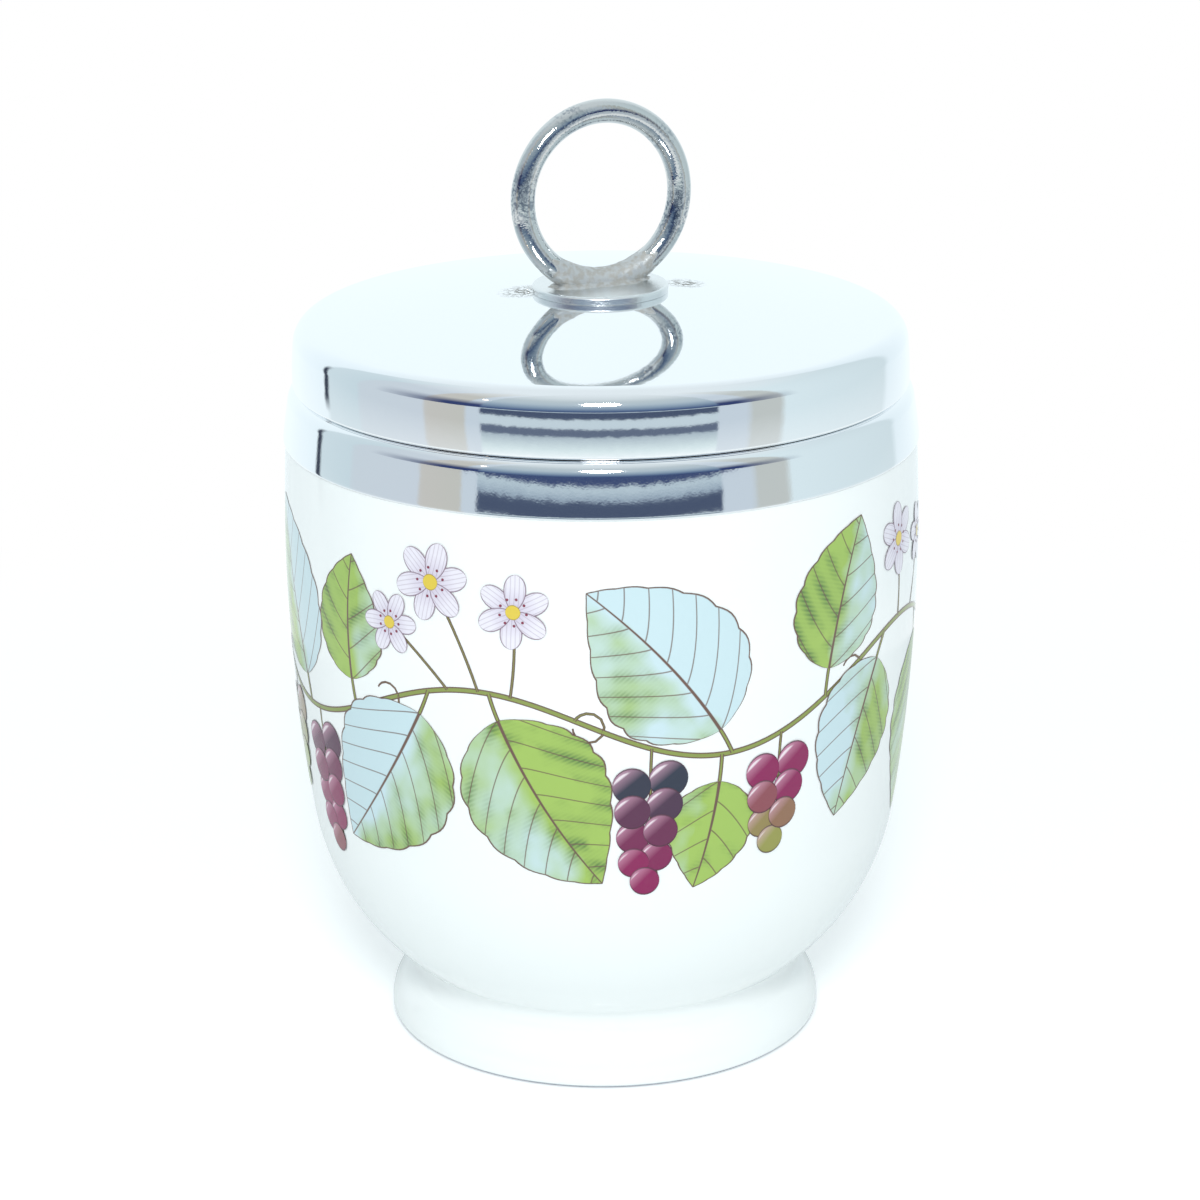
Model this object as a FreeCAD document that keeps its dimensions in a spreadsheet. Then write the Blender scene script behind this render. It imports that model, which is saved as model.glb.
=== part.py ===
"""Porcelain egg coddler: a footed cup with a cemented screw collar and a ring-topped screw lid.

Lengths are in millimetres. +Z is up, and the origin is the centre of the foot's resting face.
The lift ring stands in the XZ plane. Every size comes from the sheet, and what fits, seats on or
passes through another piece takes its size from the same values and a named clearance.
"""

import FreeCAD, Part
import math
import operator
import os
from types import SimpleNamespace

import Sketcher

SIZES = {
    # Foot
    "foot_inset": 9.0,  # belly radius less foot radius
    "foot_edge": 0.5,  # rounding of the resting edge
    "foot_side": 0.9,  # height of the foot's upright side
    "foot_shoulder": 4.0,  # rounding above the upright side
    "foot_rim_width": 3.0,  # radial width of the resting ring
    "base_recess": 2.4,  # depth of the hollow inside the foot
    "waist_fillet": 1.8,  # hollow between foot and bowl
    # Bowl and wall
    "bowl_curve": 23.2,  # section radius of the lower bowl
    "bowl_top": 21.9,  # height where the bowl meets the side
    "belly_height": 47.5,  # height of the widest section
    "belly_bulge": 0.2,  # how far the belly stands out past the collar
    "side_curve": 181.0,  # section radius of the side
    "cup_wall": 3.5,
    "rim_wall": 2.8,  # wall of the neck that the collar is cemented on
    "rim_round": 0.6,  # rounding of the drinking edge
    "collar_bottom": 57.5,  # height of the collar's lower edge
    # Screw collar and its cement
    "band_height": 3.7,
    "band_flare": 0.5,  # how far the band widens downwards
    "band_overhang": 0.5,  # how far the band's top stands out past the lid
    "collar_shoulder": 1.2,
    "collar_sheet": 0.6,
    "neck_height": 4.1,
    "lip_width": 1.85,  # how far the neck's top is turned in over the rim
    "cement_gap": 0.25,
    # Lid
    "lid_radius": 28.5,
    "lid_gap": 0.4,  # space between collar and skirt when shut
    "cap_sheet": 0.6,
    "shoulder_curve": 2.23,  # rounding between skirt and dome
    "dome_curve": 159.0,  # radius of the domed top
    "land_radius": 6.6,  # flat land that the ring seat stands on
    "cap_clearance": 0.58,  # space between liner and cap
    # Liner and threads
    "liner_sheet": 0.55,
    "liner_fit": 0.05,
    "liner_corner": 1.0,  # rounding between the liner's wall and disc
    "liner_end": 0.1,  # plain wall left below the liner's thread
    "dish_radius": 9.0,  # where the liner starts to rise to its centre pad
    "pad_radius": 5.5,
    "thread_pitch": 2.0,
    "thread_depth": 0.5,
    "thread_base": 0.9,
    "thread_crest": 0.5,
    "thread_clearance": 0.15,
    "thread_root_overlap": 0.1,  # how far a ridge is sunk into its wall
    "thread_start": 1.0,  # height of both ridges' lower ends above the ledge
    "neck_thread_end": 0.15,  # plain neck left above its thread
    "liner_thread_rise": 1.1,
    # Washers, seat and ring
    "seal_sheet": 0.5,
    "seal_fit": 0.2,
    "seal_inset": 0.4,
    "washer_radius": 4.0,
    "washer_sheet": 0.6,
    "shank_radius": 1.5,
    "shank_fit": 0.05,
    "peen_radius": 2.5,
    "peen_height": 0.5,
    "seat_radius": 6.3,
    "seat_height": 0.75,
    "seat_round": 0.3,
    "ring_radius": 7.8,  # centre line of the bent wire
    "wire_radius": 1.1,
    "ring_rise": 8.05,  # ring's centre above the seat
}

# A sketch's own numbers for its origin, its axes and an arc's centre
ORIGIN_POINT = (-1, 1)
HORIZONTAL_INDEX = -1
VERTICAL_INDEX = -2
CENTRE_INDEX = 3
FULL_TURN = 360
HALF_TURN = 180
SHEET_NAME = "Sizes"


class Length:
    """A size kept both as a number and as the sheet formula that works it out."""

    def __init__(self, value, formula):
        self.value = value
        self.formula = formula

    def __add__(self, other):
        return combined(self, "+", other)

    def __sub__(self, other):
        return combined(self, "-", other)

    def __mul__(self, other):
        return combined(self, "*", other)

    def __truediv__(self, other):
        return combined(self, "/", other)


OPERATIONS = {
    "+": operator.add,
    "-": operator.sub,
    "*": operator.mul,
    "/": operator.truediv,
}
ZERO = Length(0.0, "0")
TWO = Length(2.0, "2")


def combined(left, sign, right):
    """The sum, difference, product or quotient of two lengths."""
    value = OPERATIONS[sign](left.value, right.value)
    return Length(value, f"({left.formula} {sign} {right.formula})")


def root(square):
    return Length(math.sqrt(square.value), f"sqrt({square.formula})")


def free(value):
    """A coordinate that tangency settles; the number only says where to start looking."""
    return Length(value, None)


def other_leg(hypotenuse, leg):
    """The second short side of a right-angled triangle."""
    return root(hypotenuse * hypotenuse - leg * leg)


# ---------------------------------------------------------------- driving sizes and levels


def size_sheet(doc):
    sheet = doc.addObject("Spreadsheet::Sheet", SHEET_NAME)
    for row, (name, number) in enumerate(SIZES.items(), start=1):
        cell = f"A{row}"
        sheet.set(cell, str(number))
        sheet.setAlias(cell, name)
    return sheet


def placed_sizes():
    """The sheet's sizes, with the radii and heights that several pieces share."""
    at = SimpleNamespace()
    for name, number in SIZES.items():
        setattr(at, name, Length(number, f"{SHEET_NAME}.{name}"))
    add_thread_radii(at)
    add_collar_places(at)
    add_cup_places(at)
    add_lid_places(at)
    return at


def add_thread_radii(at):
    at.skirt_inner = at.lid_radius - at.cap_sheet
    at.liner_outer = at.skirt_inner - at.liner_fit
    at.liner_bore = at.liner_outer - at.liner_sheet
    at.liner_crest = at.liner_bore - at.thread_depth
    at.neck_crest = at.liner_bore - at.thread_clearance
    at.neck_root = at.neck_crest - at.thread_depth


def add_collar_places(at):
    at.neck_inner = at.neck_root - at.collar_sheet
    at.lip_radius = at.neck_inner - at.lip_width
    at.band_top_radius = at.lid_radius + at.band_overhang
    at.band_bottom_radius = at.band_top_radius + at.band_flare
    at.shoulder_radius = at.band_top_radius - at.collar_shoulder
    at.band_top = at.collar_bottom + at.band_height
    at.ledge = at.band_top + at.collar_shoulder
    at.neck_top = at.ledge + at.neck_height
    at.first_ridge = at.ledge + at.thread_start
    thread_top = at.neck_top - at.neck_thread_end - at.thread_base / TWO
    at.neck_thread_rise = thread_top - at.first_ridge
    at.backing = at.collar_sheet + at.cement_gap


def add_cup_places(at):
    at.belly_radius = at.band_bottom_radius + at.belly_bulge
    at.foot_radius = at.belly_radius - at.foot_inset
    at.foot_inner = at.foot_radius - at.foot_rim_width
    at.neck_outer = at.neck_inner - at.cement_gap
    at.mouth_radius = at.neck_outer - at.rim_wall
    at.rim = at.neck_top - at.backing
    at.belly_inner = at.belly_radius - at.cup_wall
    at.side_centre = at.belly_radius - at.side_curve
    # The bowl's arc meets the side's arc in line with both centres.
    drop = at.belly_height - at.bowl_top
    reach = other_leg(at.side_curve, drop)
    at.bowl_join = at.side_centre + reach
    at.bowl_centre = at.bowl_join - at.bowl_curve * reach / at.side_curve
    at.bowl_centre_height = at.bowl_top + at.bowl_curve * drop / at.side_curve
    at.inner_join = at.bowl_join - at.cup_wall * reach / at.side_curve
    at.inner_join_height = at.bowl_top + at.cup_wall * drop / at.side_curve
    at.inner_bowl_curve = at.bowl_curve - at.cup_wall
    at.floor = at.bowl_centre_height - at.inner_bowl_curve


def add_lid_places(at):
    at.liner_under = at.neck_top + at.seal_sheet
    at.liner_top = at.liner_under + at.liner_sheet
    at.skirt_bottom = at.ledge + at.lid_gap
    at.liner_bottom = at.first_ridge - at.thread_base / TWO - at.liner_end
    at.shoulder_centre = at.lid_radius - at.shoulder_curve
    at.shoulder_height = at.liner_top + at.cap_clearance + at.cap_sheet - at.shoulder_curve
    # The dome's arc leaves the shoulder's arc in line with both centres.
    span = at.dome_curve - at.shoulder_curve
    fall = other_leg(span, at.shoulder_centre)
    at.shoulder_sine = at.shoulder_centre / span
    at.shoulder_cosine = fall / span
    at.dome_centre = at.shoulder_height - fall
    at.land = at.dome_centre + other_leg(at.dome_curve, at.land_radius)
    at.land_under = at.land - at.cap_sheet
    at.pad_under = at.land_under - at.liner_sheet
    at.washer_under = at.pad_under - at.washer_sheet
    at.shank_hole = at.shank_radius + at.shank_fit
    at.seat_top = at.land + at.seat_height


# ---------------------------------------------------------------- sketches and features


def origin_plane(body, role):
    for feature in body.Origin.OriginFeatures:
        if feature.Role == role:
            return feature
    raise RuntimeError(f"{body.Label} has no {role}")


def section_sketch(body, name):
    """An empty sketch on the body's XZ plane: its X is the radius and its Y the height."""
    sketch = body.newObject("Sketcher::SketchObject", name)
    sketch.AttachmentSupport = (origin_plane(body, "XZ_Plane"), [""])
    sketch.MapMode = "FlatFace"
    return sketch


def vector(point):
    return FreeCAD.Vector(point[0].value, point[1].value, 0)


def arc_middle(start, end, radius, left):
    """The middle of the shorter arc between two points, with its centre on the path's left or right."""
    chord = end - start
    half = chord.Length / 2
    normal = FreeCAD.Vector(-chord.y, chord.x, 0).normalize()
    if not left:
        normal = normal * -1
    centre = start + chord * 0.5 + normal * math.sqrt(max(radius**2 - half**2, 0.0))
    if half > radius * (1 - 1e-9):
        centre = start + chord * 0.5
    return centre - normal * radius


class Bend:
    """An arc from one corner to the next, with its centre on the path's left or right."""

    def __init__(self, radius, left, centre=None, smooth_start=False, smooth_end=False):
        self.radius = radius
        self.left = left
        self.centre = centre
        self.smooth_start = smooth_start
        self.smooth_end = smooth_end


def holds(geometry, point, corner):
    """What fixes one end of a segment at its radius and height, each with its formula."""
    found = []
    for kind, axis, length in (
        ("DistanceX", VERTICAL_INDEX, corner[0]),
        ("DistanceY", HORIZONTAL_INDEX, corner[1]),
    ):
        if length is ZERO:
            found.append((Sketcher.Constraint("PointOnObject", geometry, point, axis), None))
        elif length.formula is not None:
            distance = Sketcher.Constraint(kind, *ORIGIN_POINT, geometry, point, length.value)
            found.append((distance, length.formula))
    return found


def add_segment(sketch, start, end, bend):
    """Draw a line or an arc, and give the point numbers of its two ends."""
    first, last = vector(start), vector(end)
    if bend is None:
        index = sketch.addGeometry(Part.LineSegment(first, last), False)
        return index, 1, 2
    # A sketch's arcs run anticlockwise, so one that bends to the right is drawn backwards.
    middle = arc_middle(first, last, bend.radius.value, bend.left)
    if bend.left:
        return sketch.addGeometry(Part.Arc(first, middle, last), False), 1, 2
    return sketch.addGeometry(Part.Arc(last, middle, first), False), 2, 1


def draw_outline(sketch, corners, bends=None):
    """Draw a closed outline through the corners. A bend is keyed by the corner that it starts at."""
    bends = bends or {}
    count = len(corners)
    segments = []
    for number, corner in enumerate(corners):
        following = corners[(number + 1) % count]
        segments.append(add_segment(sketch, corner, following, bends.get(number)))
    rules = []
    for number, corner in enumerate(corners):
        geometry, start, _ = segments[number]
        before, _, before_end = segments[number - 1]
        bend, bend_before = bends.get(number), bends.get((number - 1) % count)
        smooth = (bend and bend.smooth_start) or (bend_before and bend_before.smooth_end)
        kind = "Tangent" if smooth else "Coincident"
        rules.append((Sketcher.Constraint(kind, before, before_end, geometry, start), None))
        rules += holds(geometry, start, corner)
    for number, bend in bends.items():
        geometry = segments[number][0]
        if bend.centre is not None:
            rules += holds(geometry, CENTRE_INDEX, bend.centre)
        else:
            radius = Sketcher.Constraint("Radius", geometry, bend.radius.value)
            rules.append((radius, bend.radius.formula))
    # All at once, so that the solver starts from the outline as drawn.
    sketch.addConstraint([rule for rule, _ in rules])
    for index, (_, formula) in enumerate(rules):
        if formula is not None:
            sketch.setExpression(f"Constraints[{index}]", formula)


def turned_body(doc, name, corners, bends=None):
    """A body of revolution about the Z axis."""
    body = doc.addObject("PartDesign::Body", name)
    body.Label = name
    sketch = section_sketch(body, f"{name}_section")
    draw_outline(sketch, corners, bends)
    turned = body.newObject("PartDesign::Revolution", f"{name}_turned")
    turned.Profile = sketch
    turned.ReferenceAxis = (sketch, ["V_Axis"])
    turned.Angle = FULL_TURN
    doc.recompute()
    return body


def add_thread(doc, body, wall, crest, rise, turned_by, at):
    """A right-hand helical ridge on the wall, standing to the crest radius.

    It starts at the height of the first ridge, turned_by degrees round from +X.
    """
    start = at.first_ridge
    sunk = at.thread_root_overlap
    foot = wall - sunk if crest.value > wall.value else wall + sunk
    half_base, half_crest = at.thread_base / TWO, at.thread_crest / TWO
    corners = [
        (foot, start - half_base),
        (crest, start - half_crest),
        (crest, start + half_crest),
        (foot, start + half_base),
    ]
    sketch = section_sketch(body, f"{body.Label}_ridge")
    about_axis = FreeCAD.Rotation(FreeCAD.Vector(0, 1, 0), turned_by)
    sketch.AttachmentOffset = FreeCAD.Placement(FreeCAD.Vector(0, 0, 0), about_axis)
    draw_outline(sketch, corners)
    plain_volume = body.Shape.Volume
    ridge = body.newObject("PartDesign::AdditiveHelix", f"{body.Label}_thread")
    ridge.Profile = sketch
    ridge.ReferenceAxis = (sketch, ["V_Axis"])
    ridge.Mode = "pitch-height-angle"
    ridge.setExpression("Pitch", at.thread_pitch.formula)
    ridge.setExpression("Height", rise.formula)
    doc.recompute()
    if body.Shape.Volume <= plain_volume:
        raise RuntimeError(f"the thread of {body.Label} added nothing")


# ---------------------------------------------------------------- cup and collar


def waist_contacts(at):
    """Where the waist's hollow touches the foot's shoulder and the bowl, as starting guesses."""
    foot = FreeCAD.Vector((at.foot_radius - at.foot_shoulder).value, at.foot_side.value, 0)
    bowl = FreeCAD.Vector(at.bowl_centre.value, at.bowl_centre_height.value, 0)
    fillet = at.waist_fillet.value
    to_foot = at.foot_shoulder.value + fillet
    to_bowl = at.bowl_curve.value + fillet
    apart = bowl - foot
    along = (to_foot**2 - to_bowl**2 + apart.Length**2) / (2 * apart.Length)
    aside = math.sqrt(max(to_foot**2 - along**2, 0.0))
    unit = FreeCAD.Vector(apart).normalize()
    outward = FreeCAD.Vector(unit.y, -unit.x, 0)
    centre = foot + unit * along + outward * aside
    on_foot = foot + (centre - foot).normalize() * at.foot_shoulder.value
    on_bowl = bowl + (centre - bowl).normalize() * at.bowl_curve.value
    return on_foot, on_bowl


def porcelain_cup(doc, at):
    """Slip-cast cup with a rounded bowl, a rebate for the collar and a hollow foot."""
    on_foot, on_bowl = waist_contacts(at)
    side_top = at.side_centre + other_leg(at.side_curve, at.collar_bottom - at.belly_height)
    under_ledge = at.ledge - at.backing
    shoulder_arc = at.collar_shoulder - at.backing
    mouth_rise = at.rim - at.rim_round - at.belly_height
    mouth_narrowing = at.belly_inner - at.mouth_radius
    mouth_curve = (mouth_rise * mouth_rise + mouth_narrowing * mouth_narrowing) / (
        mouth_narrowing * TWO
    )
    corners = [
        (ZERO, at.base_recess),
        (at.foot_inner, at.base_recess),
        (at.foot_inner, ZERO),
        (at.foot_radius - at.foot_edge, ZERO),
        (at.foot_radius, at.foot_edge),
        (at.foot_radius, at.foot_side),
        (free(on_foot.x), free(on_foot.y)),
        (free(on_bowl.x), free(on_bowl.y)),
        (at.bowl_join, at.bowl_top),
        (side_top, at.collar_bottom),
        (at.band_bottom_radius - at.backing, at.collar_bottom),
        (at.band_top_radius - at.backing, at.band_top),
        (at.shoulder_radius, under_ledge),
        (at.neck_outer, under_ledge),
        (at.neck_outer, at.rim),
        (at.mouth_radius + at.rim_round, at.rim),
        (at.mouth_radius, at.rim - at.rim_round),
        (at.belly_inner, at.belly_height),
        (at.inner_join, at.inner_join_height),
        (at.bowl_centre, at.floor),
        (ZERO, at.floor),
    ]
    foot_centre = (at.foot_radius - at.foot_shoulder, at.foot_side)
    bends = {
        3: Bend(at.foot_edge, left=True),
        5: Bend(at.foot_shoulder, left=True, centre=foot_centre),
        6: Bend(at.waist_fillet, left=False, smooth_start=True, smooth_end=True),
        7: Bend(at.bowl_curve, left=True, centre=(at.bowl_centre, at.bowl_centre_height)),
        8: Bend(at.side_curve, left=True),
        11: Bend(shoulder_arc, left=True),
        15: Bend(at.rim_round, left=True),
        16: Bend(mouth_curve, left=False),
        17: Bend(at.side_curve - at.cup_wall, left=False),
        18: Bend(at.inner_bowl_curve, left=False),
    }
    return turned_body(doc, "porcelain_cup", corners, bends)


def screw_collar(doc, at):
    """Plated brass collar: a flared band, a rounded ledge and a neck with an outside thread."""
    sheet = at.collar_sheet
    corners = [
        (at.band_bottom_radius, at.collar_bottom),
        (at.band_top_radius, at.band_top),
        (at.shoulder_radius, at.ledge),
        (at.neck_root, at.ledge),
        (at.neck_root, at.neck_top),
        (at.lip_radius, at.neck_top),
        (at.lip_radius, at.neck_top - sheet),
        (at.neck_inner, at.neck_top - sheet),
        (at.neck_inner, at.ledge - sheet),
        (at.shoulder_radius, at.ledge - sheet),
        (at.band_top_radius - sheet, at.band_top),
        (at.band_bottom_radius - sheet, at.collar_bottom),
    ]
    bends = {
        1: Bend(at.collar_shoulder, left=True),
        9: Bend(at.collar_shoulder - sheet, left=False),
    }
    body = turned_body(doc, "screw_collar", corners, bends)
    add_thread(doc, body, at.neck_root, at.neck_crest, at.neck_thread_rise, 0, at)
    return body


def collar_cement(doc, at):
    """Cement that fills the space between the collar and the porcelain."""
    sheet, backing = at.collar_sheet, at.backing
    corners = [
        (at.band_bottom_radius - sheet, at.collar_bottom),
        (at.band_top_radius - sheet, at.band_top),
        (at.shoulder_radius, at.ledge - sheet),
        (at.neck_inner, at.ledge - sheet),
        (at.neck_inner, at.neck_top - sheet),
        (at.lip_radius, at.neck_top - sheet),
        (at.lip_radius, at.rim),
        (at.neck_outer, at.rim),
        (at.neck_outer, at.ledge - backing),
        (at.shoulder_radius, at.ledge - backing),
        (at.band_top_radius - backing, at.band_top),
        (at.band_bottom_radius - backing, at.collar_bottom),
    ]
    bends = {
        1: Bend(at.collar_shoulder - sheet, left=True),
        9: Bend(at.collar_shoulder - backing, left=False),
    }
    return turned_body(doc, "collar_cement", corners, bends)


# ---------------------------------------------------------------- lid


def flat_ring(doc, name, inner, outer, bottom, thickness):
    """A plain washer."""
    top = bottom + thickness
    return turned_body(doc, name, [(inner, bottom), (outer, bottom), (outer, top), (inner, top)])


def sealing_washer(doc, at):
    """Loose washer between the neck's lip and the liner, kept in the lid by the liner's thread."""
    inner = at.lip_radius + at.seal_inset
    outer = at.liner_bore - at.seal_fit
    return flat_ring(doc, "sealing_washer", inner, outer, at.neck_top, at.seal_sheet)


def lid_cap(doc, at):
    """Pressed and plated cap: a hemmed skirt, a rounded shoulder and a shallow dome."""
    hem = at.cap_sheet / TWO
    inner_shoulder = at.shoulder_curve - at.cap_sheet
    inner_dome = at.dome_curve - at.cap_sheet
    corners = [
        (at.skirt_inner, at.skirt_bottom + hem),
        (at.lid_radius - hem, at.skirt_bottom),
        (at.lid_radius, at.skirt_bottom + hem),
        (at.lid_radius, at.shoulder_height),
        (
            at.shoulder_centre + at.shoulder_curve * at.shoulder_sine,
            at.shoulder_height + at.shoulder_curve * at.shoulder_cosine,
        ),
        (at.land_radius, at.land),
        (at.shank_hole, at.land),
        (at.shank_hole, at.land_under),
        (at.land_radius, at.land_under),
        (
            at.shoulder_centre + inner_shoulder * at.shoulder_sine,
            at.shoulder_height + inner_shoulder * at.shoulder_cosine,
        ),
        (at.skirt_inner, at.shoulder_height),
    ]
    bends = {
        0: Bend(hem, left=True),
        1: Bend(hem, left=True),
        3: Bend(at.shoulder_curve, left=True),
        4: Bend(at.dome_curve, left=True),
        8: Bend(inner_dome, left=False),
        9: Bend(inner_shoulder, left=False),
    }
    return turned_body(doc, "lid_cap", corners, bends)


def lid_liner(doc, at):
    """Inner cup of the lid: a threaded wall and a dished disc that meets the cap at its centre."""
    corners = [
        (at.liner_outer, at.liner_bottom),
        (at.liner_outer, at.liner_top - at.liner_corner),
        (at.liner_outer - at.liner_corner, at.liner_top),
        (at.dish_radius, at.liner_top),
        (at.pad_radius, at.land_under),
        (at.shank_hole, at.land_under),
        (at.shank_hole, at.pad_under),
        (at.pad_radius, at.pad_under),
        (at.dish_radius, at.liner_under),
        (at.liner_bore, at.liner_under),
        (at.liner_bore, at.liner_bottom),
    ]
    body = turned_body(doc, "lid_liner", corners, {1: Bend(at.liner_corner, left=True)})
    # Half a turn on, the neck's ridge is half a pitch higher, so the two threads interleave.
    add_thread(doc, body, at.liner_bore, at.liner_crest, at.liner_thread_rise, HALF_TURN, at)
    return body


def seat_washer(doc, at):
    """Washer under the liner's pad, which the ring seat's shank is peened over."""
    return flat_ring(
        doc,
        "seat_washer",
        at.shank_hole,
        at.washer_radius,
        at.washer_under,
        at.washer_sheet,
    )


def ring_seat(doc, at):
    """Turned disc under the ring, with a shank through cap, liner and washer, peened below."""
    corners = [
        (ZERO, at.washer_under - at.peen_height),
        (at.peen_radius, at.washer_under - at.peen_height),
        (at.peen_radius, at.washer_under),
        (at.shank_radius, at.washer_under),
        (at.shank_radius, at.land),
        (at.seat_radius, at.land),
        (at.seat_radius, at.seat_top - at.seat_round),
        (at.seat_radius - at.seat_round, at.seat_top),
        (ZERO, at.seat_top),
    ]
    return turned_body(doc, "ring_seat", corners, {6: Bend(at.seat_round, left=True)})


def lift_ring(doc, at):
    """Wire ring that stands upright, filed flat where it is brazed to its seat."""
    hoop = doc.addObject("Part::Torus", "lift_ring_hoop")
    hoop.setExpression("Radius1", at.ring_radius.formula)
    hoop.setExpression("Radius2", at.wire_radius.formula)
    hoop.Placement = FreeCAD.Placement(
        FreeCAD.Vector(0, 0, 0), FreeCAD.Rotation(FreeCAD.Vector(1, 0, 0), 90)
    )
    hoop.setExpression("Placement.Base.z", (at.seat_top + at.ring_rise).formula)
    reach = at.ring_radius + at.wire_radius
    filed = doc.addObject("Part::Box", "lift_ring_filed_part")
    filed.setExpression("Length", (reach * TWO).formula)
    filed.setExpression("Width", (reach * TWO).formula)
    filed.setExpression("Height", reach.formula)
    filed.setExpression("Placement.Base.x", (ZERO - reach).formula)
    filed.setExpression("Placement.Base.y", (ZERO - reach).formula)
    filed.setExpression("Placement.Base.z", (at.seat_top - reach).formula)
    ring = doc.addObject("Part::Cut", "lift_ring")
    ring.Label = "lift_ring"
    ring.Base = hoop
    ring.Tool = filed
    doc.recompute()
    if ring.Shape.Volume >= hoop.Shape.Volume:
        raise RuntimeError("the ring's foot was not filed flat")
    return ring


# ---------------------------------------------------------------- checks and files


def check_document(doc, pieces):
    """Stop before anything is written if a feature failed or a piece isn't one valid solid."""
    for item in doc.Objects:
        if "Invalid" in item.State or "Error" in item.State:
            raise RuntimeError(f"{item.Label} failed: {item.State}")
    for piece in pieces:
        shape = piece.Shape
        if shape.isNull() or not shape.isValid() or len(shape.Solids) != 1:
            raise RuntimeError(f"{piece.Label} isn't one valid solid")


def main():
    doc = FreeCAD.newDocument("egg_coddler")
    size_sheet(doc)
    doc.recompute()
    at = placed_sizes()
    builders = (
        porcelain_cup,
        screw_collar,
        collar_cement,
        sealing_washer,
        lid_cap,
        lid_liner,
        seat_washer,
        ring_seat,
        lift_ring,
    )
    pieces = [build(doc, at) for build in builders]
    doc.recompute()
    check_document(doc, pieces)
    os.makedirs("parts", exist_ok=True)
    for piece in pieces:
        piece.Shape.exportStep(f"parts/{piece.Label}.step")
        print(f"{piece.Label}: {piece.Shape.Volume:.1f} mm3")


main()
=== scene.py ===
"""Porcelain egg coddler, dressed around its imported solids.

A footed cup with a fruiting vine fired onto its side, a plated screw collar, and a plated screw
lid with a brazed lift ring. Sizes are in millimetres until MM makes them metres.
"""

import math

import bpy
import numpy as np
from bpy.props import FloatProperty, FloatVectorProperty, IntProperty, PointerProperty
from mathutils import Euler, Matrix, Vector


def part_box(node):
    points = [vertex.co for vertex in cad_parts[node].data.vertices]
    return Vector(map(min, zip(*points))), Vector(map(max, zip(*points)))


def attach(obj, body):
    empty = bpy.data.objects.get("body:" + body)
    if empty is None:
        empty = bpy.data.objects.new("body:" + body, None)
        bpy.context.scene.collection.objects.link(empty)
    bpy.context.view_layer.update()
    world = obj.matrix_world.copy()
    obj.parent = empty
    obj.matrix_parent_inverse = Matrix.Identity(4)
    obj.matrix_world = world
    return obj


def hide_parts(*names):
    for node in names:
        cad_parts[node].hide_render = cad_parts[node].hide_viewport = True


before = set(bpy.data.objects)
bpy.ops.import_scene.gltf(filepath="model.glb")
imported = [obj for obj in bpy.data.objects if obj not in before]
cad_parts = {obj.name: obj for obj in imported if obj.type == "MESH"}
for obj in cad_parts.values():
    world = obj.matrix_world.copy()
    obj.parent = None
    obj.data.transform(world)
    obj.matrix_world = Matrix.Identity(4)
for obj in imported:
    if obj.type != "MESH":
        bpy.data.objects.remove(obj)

bl_info = {
    "name": "Egg coddler",
    "version": (1, 0, 0),
    "blender": (4, 5, 0),
    "location": "3D View > Sidebar > Coddler",
    "description": "Builds a porcelain egg coddler with a screw lid and a lift ring",
    "category": "Add Mesh",
}

MM = 0.001

# Kinds of node. Map Range takes inputs 1 and 2 to 3 and 4, which are 0 and 1 where they are left
# out, and goes no further. Mix has its factor at 0 and its two colours at 6 and 7.
ATTRIBUTE = "ShaderNodeAttribute"
BACKGROUND = "ShaderNodeBackground"
BUMP = "ShaderNodeBump"
COORDINATES = "ShaderNodeTexCoord"
MATH = "ShaderNodeMath"
MIX = "ShaderNodeMix"
MIX_SHADER = "ShaderNodeMixShader"
NOISE = "ShaderNodeTexNoise"
RANGE = "ShaderNodeMapRange"
VECTOR_MATH = "ShaderNodeVectorMath"


# ---------------------------------------------------------------- sizes and colours


def linear(code):
    """A colour written as sRGB hex, as the linear RGBA that shaders use."""
    channels = [int(code[place : place + 2], 16) / 255 for place in (1, 3, 5)]
    curve = [c / 12.92 if c <= 0.04045 else ((c + 0.055) / 1.055) ** 2.4 for c in channels]
    return (*curve, 1.0)


def length(name, description, millimetres):
    return FloatProperty(
        name=name, description=description, default=millimetres, min=0.0, precision=3
    )


def degrees(name, description, size):
    return FloatProperty(
        name=name, description=description, default=math.radians(size), subtype="ANGLE"
    )


def colour(name, description, code):
    return FloatVectorProperty(
        name=name, description=description, default=linear(code), size=4, subtype="COLOR"
    )


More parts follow.
